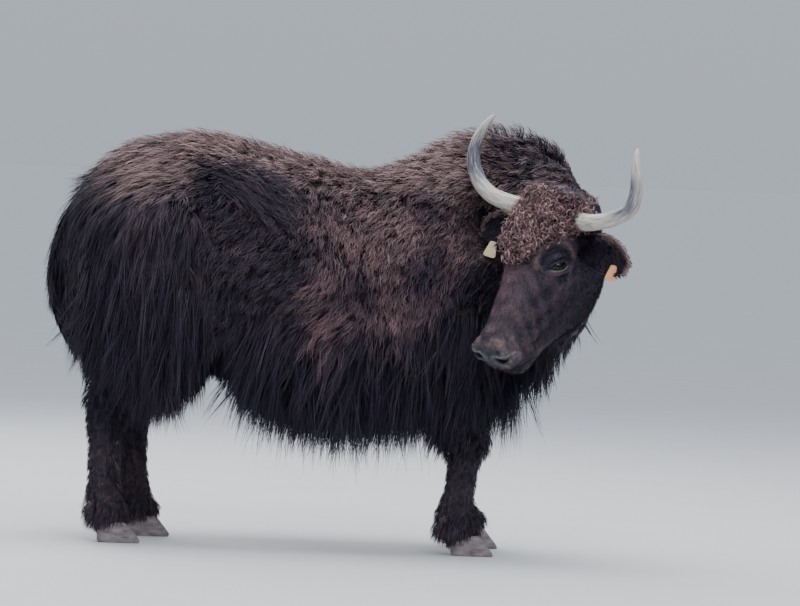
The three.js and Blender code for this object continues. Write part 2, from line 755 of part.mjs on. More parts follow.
// Regions that part the whole body into its nodes: an outline that runs anticlockwise, drawn in two of the
// axes and extruded along the third
function region(outline, [near, far], axes, origin, grow) {
  const shape = new THREE.Shape(widened(outline, grow));
  const slab = new THREE.ExtrudeGeometry(shape, { depth: far - near + 2 * grow, bevelEnabled: false });
  slab.translate(0, 0, near - grow);
  return solid(slab.applyMatrix4(new THREE.Matrix4().makeBasis(...axes).setPosition(origin)));
}

// The same outline moved outwards by an even margin
function widened(points, margin) {
  const count = points.length;
  const outward = (i) => {
    const [a, b] = [points[(i + count) % count], points[(i + 1) % count]];
    const edge = new THREE.Vector2(b[0] - a[0], b[1] - a[1]).normalize();
    return new THREE.Vector2(edge.y, -edge.x);
  };
  return points.map(([x, y], i) => {
    const [before, after] = [outward(i - 1), outward(i)];
    const corner = before.clone().add(after);
    return corner.multiplyScalar(margin / (1 + before.dot(after))).add(new THREE.Vector2(x, y));
  });
}

// The head, in its own profile: from behind the poll to behind the jaw, and along under the jaw
const HEAD_PROFILE = [
  [-66, 160],
  [-92, -70],
  [-40, -220],
  [45, -345],
  [320, -360],
  [470, -240],
  [600, -205],
  [600, 160],
];
const HEAD_REACH = 150;

function headRegion(grow) {
  const [s, l, u] = HEAD_AXES;
  return region(HEAD_PROFILE, [-HEAD_REACH, HEAD_REACH], [s, u, l.clone().negate()], POLL, grow);
}

// The neck, from a line that leans from the withers to the point of the shoulder, above the brisket
const NECK_PROFILE = [[600, 1460], [755, 800], [1150, 640], [1250, 1460]];

function neckRegion(grow) {
  return region(NECK_PROFILE, [-700, 500], [FORWARD, UP, vec(0, -1, 0)], vec(0, 0, 0), grow);
}

// The tail, behind a line that runs down the back of the rump
const TAIL_PROFILE = [
  [-1000, 380],
  [-800, 380],
  [-800, 980],
  [-785, 1080],
  [-762, 1150],
  [-744, 1210],
  [-1000, 1210],
];
const TAIL_REACH = 112;

function tailRegion(grow) {
  return region(TAIL_PROFILE, [-TAIL_REACH, TAIL_REACH], [FORWARD, UP, vec(0, -1, 0)], vec(0, 0, 0), grow);
}

// A leg above and below its knee or hock, in outlines round the hoof's place. The upper one leans outwards
// over the trunk, so that it leaves the breast and the pelvis to the torso
const LEG_APART = 40;
const LEG_PROFILES = {
  fore: {
    lean: rad(14),
    pivot: 470,
    upper: [[-165, 170], [85, 170], [90, 600], [40, 720], [-60, 755], [-175, 660]],
    lower: [[-160, -10], [130, -10], [130, 275], [-160, 275]],
  },
  hind: {
    lean: rad(14),
    pivot: 540,
    upper: [
      [-140, 340],
      [190, 340],
      [290, 620],
      [250, 900],
      [150, 1080],
      [30, 1090],
      [-130, 1000],
      [-200, 820],
      [-200, 600],
    ],
    lower: [[-125, -10], [95, -10], [95, 445], [-125, 445]],
  },
};

function legRegion({ hoofX, y, front }, which, grow) {
  const { lean, pivot, [which]: outline } = LEG_PROFILES[front ? "fore" : "hind"];
  const side = Math.sign(y);
  const tilt = which === "upper" ? -side * lean : 0;
  const axes = [FORWARD, UP, vec(0, -1, 0)].map((axis) => axis.clone().applyAxisAngle(FORWARD, tilt));
  const local = outline.map(([x, z]) => [x, z - pivot]);
  const span = side > 0 ? [-430, -LEG_APART] : [LEG_APART, 430];
  return region(local, span, axes, vec(hoofX, 0, pivot), grow);
}

const COAT = 0x241a18;
const HORN_COLOUR = 0xcfc8b8;
const HOOF_COLOUR = 0x6f6660;
const EYE_COLOUR = 0x120d0b;
const TAG_COLOURS = { left: 0xd98a52, right: 0xdcd7a0 };
const SIDES = [["left", 1], ["right", -1]];

const animal = new THREE.Group();

function addNode(name, body, colour, roughness) {
  const material = new THREE.MeshStandardMaterial({ color: colour, roughness, metalness: 0 });
  const mesh = new THREE.Mesh(closedSurface(body), material);
  mesh.name = name;
  animal.add(mesh);
}

// What is set into the flesh: each is cut clear of those before it, and the flesh is cut clear of them all
const set = [];

function setIn(name, colour, roughness, make) {
  const clear = set.reduce((rest, other) => rest.subtract(other), make(0));
  addNode(name, clear, colour, roughness);
  set.push(make(GAP));
}

for (const [name, side] of SIDES) {
  setIn(`eye_${name}`, EYE_COLOUR, 0.15, (grow) => eyeBall(side, grow));
  setIn(`horn_${name}`, HORN_COLOUR, 0.5, (grow) => solid(hornLoft(side).geometry(10, 12, grow)));
}
for (const [name, side] of SIDES) {
  const { at, across } = TAG_PLACES[name];
  const axes = [headVector(...across), headVector(-1, 0, 0.2), null].map((a) => a?.normalize());
  axes[2] = new THREE.Vector3().crossVectors(axes[0], axes[1]).normalize();
  axes[1] = new THREE.Vector3().crossVectors(axes[2], axes[0]);
  const centre = onHead(at[0], side * at[1], at[2]);
  setIn(`tag_${name}`, TAG_COLOURS[name], 0.5, (grow) => solid(tagPlate(centre, axes, grow)));
}
for (const [name, side] of SIDES) {
  setIn(`ear_${name}`, COAT, 0.9, (grow) => ear(side, grow));
}
for (const [leg, place] of Object.entries(LEGS)) {
  const away = Math.sign(place.y);
  for (const [which, across] of [["inner", -1], ["outer", 1]]) {
    const y = place.y + away * across * CLAW.apart;
    setIn(`hoof_${leg}_${which}`, HOOF_COLOUR, 0.6, (grow) => claw(place.hoofX, y, grow));
    const behind = place.y + away * across * DEWCLAW.apart;
    setIn(`dewclaw_${leg}_${which}`, HOOF_COLOUR, 0.6, (grow) => dewclaw(place, behind, grow));
  }
}

const rowsOn = (loft, rows, mirror) => rows.flatMap((row) => lockRow(loft, row, mirror));
const forms = [
  solid(TRUNK.geometry(24, 16)),
  solid(NECK.geometry(20, 9)),
  face(),
  ...Object.values(LEGS).map((place) => solid(legLoft(place).geometry(10, 11))),
  solid(TAIL.geometry(10, 8)),
  solid(CHEST.geometry(6, 6)),
  solid(curtain(BELLY_LINE, 1).geometry(8, 5)),
  solid(curtain(BELLY_LINE, -1).geometry(8, 5)),
  ...rowsOn(TRUNK, TRUNK_ROWS, false),
  ...rowsOn(TRUNK, TRUNK_ROWS, true),
  ...rowsOn(NECK, NECK_ROWS, false),
  ...rowsOn(CHEST, [CHEST_ROW], false),
  ...rowsOn(CHEST, [CHEST_ROW], true),
  ...rowsOn(TAIL, TAIL_ROWS, false),
  ...Object.values(LEGS).flatMap((place) => {
    return rowsOn(legLoft(place), LEG_ROWS[place.front ? "fore" : "hind"], place.y < 0);
  }),
  ...forelock(),
];

let rest = cutBy(largest(joined(forms)), set);

function part(name, within) {
  const inside = rest.intersect(within(0));
  rest = rest.subtract(within(GAP));
  addNode(name, inside, COAT, 0.95);
}

part("head", headRegion);
part("tail", tailRegion);

for (const [leg, place] of Object.entries(LEGS)) {
  part(`${leg}_lower`, (grow) => legRegion(place, "lower", grow));
  part(`${leg}_upper`, (grow) => legRegion(place, "upper", grow));
}
part("neck", neckRegion);
addNode("torso", rest, COAT, 0.95);


export default animal;
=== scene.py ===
"""A life-size domestic yak in its long coat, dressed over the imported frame.

Lengths are in millimetres in the animal's own frame, +X forward, +Y to its left and +Z up, and become metres
in the row frame only when a mesh is made.
"""
import math

import bmesh
import bpy
import numpy as np
from mathutils import Matrix, Vector
from mathutils.bvhtree import BVHTree


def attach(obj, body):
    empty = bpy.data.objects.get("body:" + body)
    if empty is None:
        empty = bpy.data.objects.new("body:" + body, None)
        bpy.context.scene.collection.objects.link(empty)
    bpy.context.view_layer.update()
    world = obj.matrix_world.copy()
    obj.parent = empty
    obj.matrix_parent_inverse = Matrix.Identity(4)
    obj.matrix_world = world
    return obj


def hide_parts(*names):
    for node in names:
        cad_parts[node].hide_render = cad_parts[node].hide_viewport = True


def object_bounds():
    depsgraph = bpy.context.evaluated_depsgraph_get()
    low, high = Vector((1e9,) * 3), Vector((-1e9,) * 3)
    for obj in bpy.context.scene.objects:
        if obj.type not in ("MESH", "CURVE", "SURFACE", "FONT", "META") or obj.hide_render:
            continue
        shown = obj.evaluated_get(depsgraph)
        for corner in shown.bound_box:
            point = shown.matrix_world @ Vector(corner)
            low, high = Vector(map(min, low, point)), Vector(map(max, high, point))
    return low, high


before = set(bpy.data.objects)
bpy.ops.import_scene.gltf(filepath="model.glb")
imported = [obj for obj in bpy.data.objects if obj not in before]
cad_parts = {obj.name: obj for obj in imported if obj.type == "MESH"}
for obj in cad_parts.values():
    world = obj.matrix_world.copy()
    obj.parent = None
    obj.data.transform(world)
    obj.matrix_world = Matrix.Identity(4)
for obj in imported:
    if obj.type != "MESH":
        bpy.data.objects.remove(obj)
CAD_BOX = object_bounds()
RNG = np.random.default_rng(7)

MM = 0.001
METRE = 1000
TO_FLOOR_CENTRE = np.array([-77.0, 160.0, 0.0])
SIDES = {"left": 1, "right": -1}

FORWARD = np.array([1.0, 0.0, 0.0])
UP = np.array([0.0, 0.0, 1.0])


# Small helpers
def unit(v):
    return v / np.maximum(np.linalg.norm(v, axis=-1, keepdims=True), 1e-9)


def dot(a, b):
    return (a * b).sum(-1, keepdims=True)


def ramp(low, high, x):
    """0 below low, 1 above high, smooth between"""
    t = np.clip((x - low) / (high - low), 0, 1)
    return t * t * (3 - 2 * t)


def bump(centre, half, x):
    """1 at the centre, falling smoothly to 0 at half on either side"""
    return 1 - ramp(0, half, np.abs(x - centre))


def bell(*shares):
    """1 where every share is 0, falling away smoothly as any of them grows"""
    return np.exp(-sum(share**2 for share in shares))


def to_row(points):
    return (np.asarray(points) + TO_FLOOR_CENTRE) * MM


def shown(name, data):
    """A new object in the scene, for a mesh, a light or a camera"""
    made = bpy.data.objects.new(name, data)
    bpy.context.scene.collection.objects.link(made)
    return made


def mesh_object(name, points, faces):
    mesh = bpy.data.meshes.new(name)
    mesh.from_pydata(to_row(points).tolist(), [], faces)
    mesh.polygons.foreach_set("use_smooth", [True] * len(mesh.polygons))
    mesh.update()
    return shown(name, mesh)


def with_modifiers_applied(made):
    """The object's mesh replaced by what its modifiers make of it"""
    graph = bpy.context.evaluated_depsgraph_get()
    made.data = bpy.data.meshes.new_from_object(made.evaluated_get(graph))
    made.modifiers.clear()
    return made


def stands_for(made, *nodes):
    """The object goes with the body in place of these nodes"""
    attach(made, "root")
    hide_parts(*nodes)
    return made


def vectors_of(items, key):
    values = np.empty(len(items) * 3)
    items.foreach_get(key, values)
    return values.reshape(-1, 3)


def points_of(made):
    return vectors_of(made.data.vertices, "co") * METRE - TO_FLOOR_CENTRE


def normals_of(made):
    return vectors_of(made.data.vertex_normals, "vector")


def move_points(made, points):
    made.data.vertices.foreach_set("co", to_row(points).ravel())
    made.data.update()


def add_colours(mesh, name, colours):
    mesh.color_attributes.new(name, "FLOAT_COLOR", "POINT").data.foreach_set("color", colours.ravel())


def add_numbers(mesh, name, kind, key, values):
    mesh.attributes.new(name, kind, "POINT").data.foreach_set(key, values.ravel())


def quad(i, j, k, around):
    """The face between rings i and i + 1 and between their points j and k"""
    return (i * around + j, i * around + k, (i + 1) * around + k, (i + 1) * around + j)


# Lofts of oval sections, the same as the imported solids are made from
def spline(rows, u):
    """Catmull-Rom through rows of numbers, with u counted in rows"""
    last = len(rows) - 1
    at = np.clip(u, 0, last)
    i = np.minimum(np.floor(at).astype(int), last - 1)
    t = (at - i)[..., None]
    a, b, d, e = (rows[np.clip(i + k, 0, last)] for k in (-1, 0, 1, 2))
    return b + ((d - a) * t + (2 * a - 5 * b + 4 * d - e) * t**2 + (3 * b - a - 3 * d + e) * t**3) / 2


def station(at, wide, above, below, square_up=2, square_down=2, along=None):
    return {"at": at, "sizes": [wide, above, below, square_up, square_down], "along": along}


class Loft:
    """Oval sections along a smooth line: a half width, heights above and below, how square each half is"""

    def __init__(self, stations, reference, inset=0, share=0.25):
        at = np.array([s["at"] for s in stations], float)
        self.last = len(stations) - 1
        along = unit(np.array([at[min(i + 1, self.last)] - at[max(i - 1, 0)] for i in range(self.last + 1)]))
        for i, s in enumerate(stations):
            if s["along"] is not None:
                along[i] = s["along"]
        sizes = np.array([s["sizes"] for s in stations], float)
        depth = np.minimum(inset, sizes[:, :1] * share)
        sizes[:, :3] -= depth
        self.rows = np.hstack([at, along, sizes])
        self.reference = reference

    def frame(self, u):
        along = unit(spline(self.rows, u)[..., 3:6])
        side = unit(np.cross(self.reference, along))
        return along, side, np.cross(along, side)

    def point(self, u, angle):
        row = spline(self.rows, u)
        _, side, up = self.frame(u)
        c, s = np.cos(angle), np.sin(angle)
        power = 2 / np.where(s > 0, row[..., 9], row[..., 10])
        across = row[..., 6] * np.sign(c) * np.abs(c) ** power
        height = np.where(s > 0, row[..., 7], row[..., 8]) * np.sign(s) * np.abs(s) ** power
        return row[..., :3] + side * across[..., None] + up * height[..., None]

    def grid(self, around, steps):
        """The loft as points and faces, closed by a point in the middle of each end"""
        places = np.linspace(0, self.last, steps + 1)
        angles = np.arange(around) / around * 2 * math.pi
        u, angle = np.meshgrid(places, angles, indexing="ij")
        rings = self.point(u.ravel(), angle.ravel())
        ends = self.rows[[0, -1], :3]
        start = len(rings)
        faces = []
        for j in range(around):
            k = (j + 1) % around
            faces += [quad(i, j, k, around) for i in range(steps)]
            faces.append((start, k, j))
            faces.append((start + 1, steps * around + j, steps * around + k))
        return np.vstack([rings, ends]), faces


# Trunk and neck
WOOL_DEPTH = 34


def middle_loft(rows, reference, inset):
    """A loft in the body's middle plane. Each row: the place along it, the height and the section's sizes"""
    return Loft([station([x, 0, z], *sizes) for x, z, *sizes in rows], reference, inset)


TRUNK = middle_loft(
    [
        (-796, 885, 60, 105, 95),
        (-772, 885, 160, 215, 190),
        (-725, 880, 215, 322, 230),
        (-660, 870, 248, 402, 260),
        (-560, 860, 270, 448, 280, 1.9),
        (-400, 850, 285, 482, 290, 1.8),
        (-200, 830, 308, 468, 310, 1.75, 2.2),
        (0, 820, 330, 438, 350, 1.75, 2.4),
        (200, 820, 336, 407, 365, 1.75, 2.4),
        (380, 840, 320, 440, 355, 1.65, 2.2),
        (540, 870, 282, 492, 345, 1.55, 2.1),
        (655, 890, 235, 501, 320, 1.5),
        (750, 880, 170, 400, 270, 1.6),
        (812, 850, 70, 170, 150),
    ],
    UP,
    WOOL_DEPTH,
)

NECK_PIVOT = (560, -330)


def neck_station(turn, radius, z, wide, above, below, square_up=2):
    out = (math.sin(math.radians(turn)), math.cos(math.radians(turn)))
    at = [NECK_PIVOT[0] + out[0] * radius, NECK_PIVOT[1] + out[1] * radius, z]
    return station(at, wide, above, below, square_up, 2, [out[1], -out[0], 0])


NECK_ROWS = [
    (-8, 322, 990, 180, 250, 330),
    (20, 318, 975, 215, 372, 375, 1.6),
    (45, 298, 960, 200, 352, 355, 1.7),
    (68, 262, 965, 172, 275, 290, 1.8),
    (88, 232, 995, 135, 190, 215),
    (104, 215, 1020, 80, 100, 125),
]
NECK = Loft([neck_station(*row) for row in NECK_ROWS], UP, WOOL_DEPTH)

# The head's own frame: s from the poll to the muzzle, l to its left, u out of the forehead
POLL = np.array([755.0, -420.0, 1162.0])
HEAD_YAW, HEAD_PITCH, HEAD_ROLL = (math.radians(v) for v in (-152.6, 65.2, -20.9))


def head_axes():
    level = np.array([math.cos(HEAD_YAW), math.sin(HEAD_YAW), 0])
    s = level * math.cos(HEAD_PITCH) - UP * math.sin(HEAD_PITCH)
    left = unit(np.cross(UP, s))
    left = np.array(Matrix.Rotation(HEAD_ROLL, 3, Vector(s)) @ Vector(left))
    return np.array([s, left, np.cross(s, left)])


HEAD_AXES = head_axes()


def on_head(s, l, u):
    return POLL + np.array([s, l, u]) @ HEAD_AXES


def in_head(points):
    """Points in the head's own frame, as s, l and u"""
    return (points - POLL) @ HEAD_AXES.T


def head_station(s, wide, top, bottom, square_up=2, square_down=2):
    middle = top - (top - bottom) * 0.42
    at = on_head(s, 0, middle)
    return station(at, wide, top - middle, middle - bottom, square_up, square_down, HEAD_AXES[0])


def head_loft(rows, inset):
    """A loft along the head. Each row: the place from the poll, the half width, the top and the bottom"""
    return Loft([head_station(*row) for row in rows], HEAD_AXES[2], inset)


FACE_DEPTH = 4
SKULL = head_loft(
    [
        (-80, 30, -80, -130),
        (-58, 82, -30, -180, 2.2),
        (-10, 116, 4, -215, 2.5),
        (60, 128, 20, -250, 2.7),
        (140, 124, 18, -268, 2.7, 1.9),
        (215, 114, 8, -258, 2.6, 1.8),
        (290, 96, -2, -228, 2.5, 1.9),
        (370, 82, -8, -178, 2.4),
        (445, 78, -12, -150, 2.3, 2.2),
        (505, 81, -16, -136, 2.4, 2.4),
        (538, 68, -32, -124, 2.5, 2.4),
        (553, 36, -62, -106),
    ],
    FACE_DEPTH,
)
JAW = head_loft(
    [
        (20, 40, -150, -230),
        (70, 92, -110, -325),
        (150, 104, -110, -366, 2, 1.9),
        (225, 98, -120, -372, 2, 1.9),
        (300, 82, -130, -344, 2, 1.9),
        (380, 66, -130, -284, 2, 1.9),
        (440, 66, -128, -236),
        (495, 70, -128, -206, 2.2, 2.2),
        (528, 58, -128, -194, 2.2, 2.2),
        (543, 30, -138, -176),
    ],
    2 * FACE_DEPTH,
)

# The cheek fills the valley between skull and jaw
CHEEK = head_loft(
    [
        (10, 60, -90, -200),
        (60, 106, -50, -250),
        (215, 106, -50, -270),
        (300, 90, -50, -245),
        (380, 76, -50, -205),
        (435, 72, -50, -180),
        (470, 60, -60, -160),
    ],
    FACE_DEPTH,
)

# Legs and tail
LEGS = {
    "foreleg_left": {"hoof_x": 560, "y": 165, "front": True},
    "foreleg_right": {"hoof_x": 540, "y": -165, "front": True},
    "hindleg_left": {"hoof_x": -520, "y": 160, "front": False},
    "hindleg_right": {"hoof_x": -600, "y": -160, "front": False},
}

# Each row: the place behind the hoof, the share of the hoof's distance from the middle, the height, the half
# width, and the reach to the front and to the back
FORELEG = [
    (-60, 0.9, 860, 50, 60, 60),
    (-55, 1.08, 780, 108, 125, 150),
    (-50, 1.08, 650, 108, 120, 140),
    (-42, 1.04, 520, 88, 92, 108),
    (-26, 1, 410, 64, 66, 78),
    (-20, 1, 345, 54, 60, 60),
    (-28, 1, 285, 46, 50, 50),
    (-38, 1, 205, 41, 45, 48),
    (-44, 1, 145, 45, 48, 62),
    (-36, 1, 98, 55, 66, 72),
    (-12, 1, 66, 58, 66, 68),
    (-2, 1, 50, 48, 54, 56),
]
HINDLEG = [
    (125, 0.9, 1140, 50, 80, 80),
    (112, 1.08, 1040, 112, 195, 170),
    (90, 1.12, 880, 135, 240, 210),
    (58, 1.12, 710, 125, 215, 185),
    (18, 1.06, 570, 94, 142, 132),
    (-26, 1, 475, 66, 82, 80),
    (-48, 1, 410, 52, 62, 62),
    (-48, 1, 320, 45, 52, 50),
    (-44, 1, 215, 44, 50, 50),
    (-38, 1, 135, 52, 58, 64),
    (-14, 1, 78, 58, 64, 68),
    (-4, 1, 52, 50, 54, 56),
]
LEG_DEPTH = 30
LEG_DEPTH_SHARE = 0.1
TAIL_DEPTH = 12


def leg_loft(hoof_x, y, front):
    rows = FORELEG if front else HINDLEG
    stations = [station([hoof_x + x, y * share, z], *sizes) for x, share, z, *sizes in rows]
    return Loft(stations, FORWARD, LEG_DEPTH, LEG_DEPTH_SHARE)


TAIL = middle_loft(
    [
        (-640, 1150, 26, 28, 28),
        (-730, 1110, 40, 34, 34),
        (-796, 1020, 52, 30, 32),
        (-826, 880, 68, 30, 30),
        (-812, 740, 70, 30, 30),
        (-776, 640, 48, 24, 24),
        (-750, 585, 14, 8, 8),
    ],
    FORWARD,
    TAIL_DEPTH,
)

# Ears
EAR_ROUTE = [
    (88, 105, -92, 24, 24), (98, 145, -88, 36, 30), (106, 195, -84, 52, 32), (114, 240, -88, 56, 28),
    (124, 285, -98, 42, 20), (134, 318, -110, 14, 8),
]
EAR_THICK = 6


def ear_loft(side):
    stations = [station(on_head(s, side * l, u), w, d, d) for s, l, u, w, d in EAR_ROUTE]
    return Loft(stations, np.array([0.25, 0, 1]) @ HEAD_AXES)


LEG_LOFTS = {leg: leg_loft(**place) for leg, place in LEGS.items()}
EAR_LOFTS = {f"ear_{name}": ear_loft(side) for name, side in SIDES.items()}
BODY_PARTS = {"trunk": TRUNK, "neck": NECK, "skull": SKULL, "jaw": JAW, "tail": TAIL}
BODY_PARTS |= LEG_LOFTS | EAR_LOFTS


# The skin: the lofts joined by a fine remesh and smoothed, so that no seam shows
LOFT_GRID = (48, 48)


def remeshed(name, shapes, voxel, rounds):
    points, faces = [], []
    for shape_points, shape_faces in shapes:
        start = sum(len(p) for p in points)
        points.append(shape_points)
        faces += [tuple(i + start for i in face) for face in shape_faces]
    made = mesh_object(name, np.vstack(points), faces)
    remesh = made.modifiers.new("remesh", "REMESH")
    remesh.mode = "VOXEL"
    remesh.voxel_size = voxel * MM
    smooth = made.modifiers.new("smooth", "SMOOTH")
    smooth.factor = 0.5
    smooth.iterations = rounds
    return with_modifiers_applied(made)


def ball(centre, radii, axes, segments=24):
    """An ellipsoid as points and faces"""
    shape = bmesh.new()
    bmesh.ops.create_uvsphere(shape, u_segments=segments, v_segments=segments * 2 // 3, radius=1)
    points = np.array([v.co for v in shape.verts]) * np.array(radii)
    faces = [tuple(v.index for v in face.verts) for face in shape.faces]
    shape.free()
    return np.asarray(centre) + points @ np.asarray(axes), faces


# Round forms of the head: the place of each, as s, l and u, and its radii
PAIRED_FORMS = {
    "brow": {"at": (178, 86, -24), "radii": (46, 24, 20)},
    "nostril": {"at": (506, 46, -68), "radii": (44, 40, 46)},
    "upper lip": {"at": (478, 46, -132), "radii": (48, 35, 36)},
}
LOWER_LIP = {"at": (508, 0, -156), "radii": (33, 62, 24)}


def head_form(at, radii, side=1):
    s, l, u = at
    return ball(on_head(s, side * l, u), radii, HEAD_AXES)


def body_shapes():
    return [loft.grid(*LOFT_GRID) for loft in (TRUNK, NECK, TAIL, *LEG_LOFTS.values())]


def head_shapes():
    lofts = [loft.grid(*LOFT_GRID) for loft in (SKULL, CHEEK, JAW)]
    paired = [head_form(**form, side=side) for side in SIDES.values() for form in PAIRED_FORMS.values()]
    return [*lofts, *paired, head_form(**LOWER_LIP)]


BODY_VOXEL = 9
HEAD_VOXEL = 3.1
body_skin = remeshed("skin", body_shapes(), BODY_VOXEL, rounds=12)
head_skin = remeshed("head_skin", head_shapes(), HEAD_VOXEL, rounds=6)


# The face, worked into the head's skin by moving its points along their normals
EYE = {"at": (196, 101, -50), "radius": 23}
EYE_OUT = unit(np.array([0.0, 0.86, 0.5]))


def eye_centre(side):
    s, l, u = EYE["at"]
    return on_head(s, side * l, u)


EYE_SLANT = math.radians(50)


def eye_axes(side):
    """From the outer corner of the eye to the inner one, up towards the brow, and out of it"""
    out = unit(EYE_OUT * [1, side, 1])
    inward = np.array([0, -side * out[2], side * out[1]])
    ahead = np.array([math.cos(EYE_SLANT), 0, 0]) + math.sin(EYE_SLANT) * inward
    up = np.array([-math.sin(EYE_SLANT), 0, 0]) + math.cos(EYE_SLANT) * inward
    return np.array([ahead, up, out]) @ HEAD_AXES


def in_eye(points):
    """Points measured from the nearer eye's centre along its axes"""
    near = np.full((len(points), 3), 1e3)
    for side in SIDES.values():
        measured = (points - eye_centre(side)) @ eye_axes(side).T
        closer = np.linalg.norm(measured, axis=1) < np.linalg.norm(near, axis=1)
        near[closer] = measured[closer]
    return near


LID = {"long": 25, "high": 12.5}
SOCKET = {"long": 60, "high": 72, "above": 8}


def lid_measure(points):
    """1 on the edge of the eye's opening, more outside it"""
    ahead, up, out = in_eye(points).T
    return np.sqrt((ahead / LID["long"]) ** 2 + (up / LID["high"]) ** 2) + 3 * ramp(0, -20, out)


def socket_measure(points):
    """1 along the fold that runs round each eye's socket, except under it"""
    ahead, up, out = in_eye(points).T
    ring = np.sqrt((ahead / SOCKET["long"]) ** 2 + ((up - SOCKET["above"]) / SOCKET["high"]) ** 2)
    return ring + 1.5 * ramp(6, -30, up) + 2 * ramp(-40, -90, out)


MOUTH_LINE = np.array([[545, -124], [505, -134], [472, -147], [446, -164]], float)


def distance_to_line(points, line):
    """How far points lie from a line of joined stretches, in a plane or in space"""
    best = np.full(len(points), 1e9)
    for a, b in zip(line[:-1], line[1:]):
        t = np.clip(((points - a) @ (b - a)) / ((b - a) @ (b - a)), 0, 1)
        best = np.minimum(best, np.linalg.norm(points - a - t[:, None] * (b - a), axis=1))
    return best


def from_mouth(points):
    """How far points lie from the line between the lips, seen from the side"""
    s, _, u = in_head(points).T
    return distance_to_line(np.stack([s, u], 1), MOUTH_LINE)


NOSTRIL = {"at": (540, 52, -50), "long": 22, "high": 9, "back": 500}


def nostril_measure(points):
    """Below 1 in a nostril: a comma across the front of the muzzle that curls up at its outer end"""
    s, l, u = in_head(points).T
    front, beside, height = NOSTRIL["at"]
    along = np.abs(l) - beside
    down = (s - front) * 0.7 - (u - height) * 0.7 + 0.016 * np.maximum(along, -10) ** 2
    behind = np.maximum(NOSTRIL["back"] - s, 0) / 8
    return np.sqrt((along / NOSTRIL["long"]) ** 2 + (down / NOSTRIL["high"]) ** 2 + behind**2)


def hollow(depth, *shares):
    """A smooth dent of the given depth, by how far off its middle a point is in each direction"""
    return -depth * bell(*shares)


def shape_face(skin):
    points = points_of(skin)
    s, l, u = in_head(points).T
    away = np.abs(l)
    mouth = from_mouth(points)
    front = ramp(430, 455, s)
    shift = -9 * bell(mouth / 3.2) * front
    shift += 4 * bell((mouth - 12) / 8) * front

    # Nostrils: a comma that opens forward and to the side, with a raised wing round it
    nostril = nostril_measure(points)
    shift -= 24 * ramp(1.2, 0.5, nostril)
    shift += 4.5 * bell((nostril - 1.8) / 0.45) * ramp(-6, 8, u + 48 + (away - 40) * 0.2)
    shift += 2.5 * bell((nostril - 1.7) / 0.35)
    shift += hollow(3, l / 8, (u + 60) / 45) * ramp(500, 530, s)

    # The upper lip's side, folded behind the nose
    fold = (s - 500) + 0.5 * (u + 90)
    shift += (hollow(4, (fold + 22) / 7) + hollow(-4, fold / 13)) * ramp(48, 62, away) * bump(-85, 55, u)

    # Cheek bone, hollow in front of it, jaw muscle and hollow in front of that
    shift += hollow(-9, (s - 235) / 70, (u + 92) / 18) * ramp(60, 85, away)
    shift += hollow(6, (s - 345) / 60, (u + 105) / 34) * ramp(45, 65, away)
    shift += hollow(-8, (s - 130) / 60, (u + 215) / 55) * ramp(50, 75, away)
    shift += hollow(8, (s - 270) / 60, (u + 200) / 30) * ramp(40, 65, away)

    # Hollow round the eye, folds round the lids, ridge round the socket and dome of the upper lid
    ahead, up, out = in_eye(points).T
    near = ramp(-25, 5, out)
    ring = np.sqrt((ahead / 40) ** 2 + (up / 30) ** 2)
    shift += hollow(6, ring / 0.75) * near
    shift += 4.5 * bell((ring - 1.15) / 0.24) * near * (1 + 0.5 * (up > 0))
    shift -= 2.2 * bell((ring - 1.55) / 0.12) * near
    shift += 1.6 * bell((ring - 1.8) / 0.12) * near
    socket = socket_measure(points)
    over = ramp(-4, 16, up)
    shift += 3.5 * bell((socket - 1) / 0.13) * over
    shift -= 2.5 * bell((socket - 0.8) / 0.12) * over
    shift += hollow(-6, (ahead + 4) / 26, (up - 34) / 13) * near

    # Fine wrinkles across the muzzle
    shift += 0.8 * (np.sin(s / 3.6 + away * 0.03 + u * 0.12) * bump(480, 45, s) * ramp(-110, -60, u))
    move_points(skin, points + normals_of(skin) * shift[:, None])


shape_face(head_skin)


# Lids: a rounded rim round each eye's opening, swelling into a fold and running out under the skin

# Each row is a size against the opening, and the reaches out, along and up of the oval dome that it lies on
LID_ROWS = [
    (0.90, 22, 23, 23),
    (0.96, 24.5, 24.5, 24.5),
    (1.03, 27, 27.5, 26.5),
    (1.14, 28, 30.5, 28.5),
    (1.28, 27.5, 34, 30),
    (1.40, 25, 37, 32),
    (1.48, 24, 39, 33),
    (1.60, 25.5, 42, 35),
    (1.78, 24, 46, 38),
    (1.98, 20, 51, 41),
    (2.20, 14, 56, 45),
    (2.40, 5, 60, 48),
]
LID_STEPS = 64


def lids(name, side):
    angle = np.arange(LID_STEPS) / LID_STEPS * 2 * math.pi
    corner = np.cos(angle)
    upward = np.sin(angle)
    points = []
    for size, dome, dome_long, dome_high in LID_ROWS:
        ahead = LID["long"] * size * corner
        up = LID["high"] * size * np.sign(upward) * np.abs(upward) ** 1.2
        bulge = dome * np.sqrt(np.maximum(1 - (ahead / dome_long) ** 2 - (up / dome_high) ** 2, 0))
        points.append(np.stack([ahead, up, bulge], 1) @ eye_axes(side) + eye_centre(side))
    faces = []
    for i in range(len(LID_ROWS) - 1):
        for j in range(LID_STEPS):
            face = quad(i, j, (j + 1) % LID_STEPS, LID_STEPS)
            faces.append(face if side > 0 else face[::-1])
    return mesh_object(f"lids_{name}", np.vstack(points), faces)


EAR_STEPS = 40
EAR_ACROSS = 28
EAR_ROLL = 0.60
EAR_OPENING = 0.06


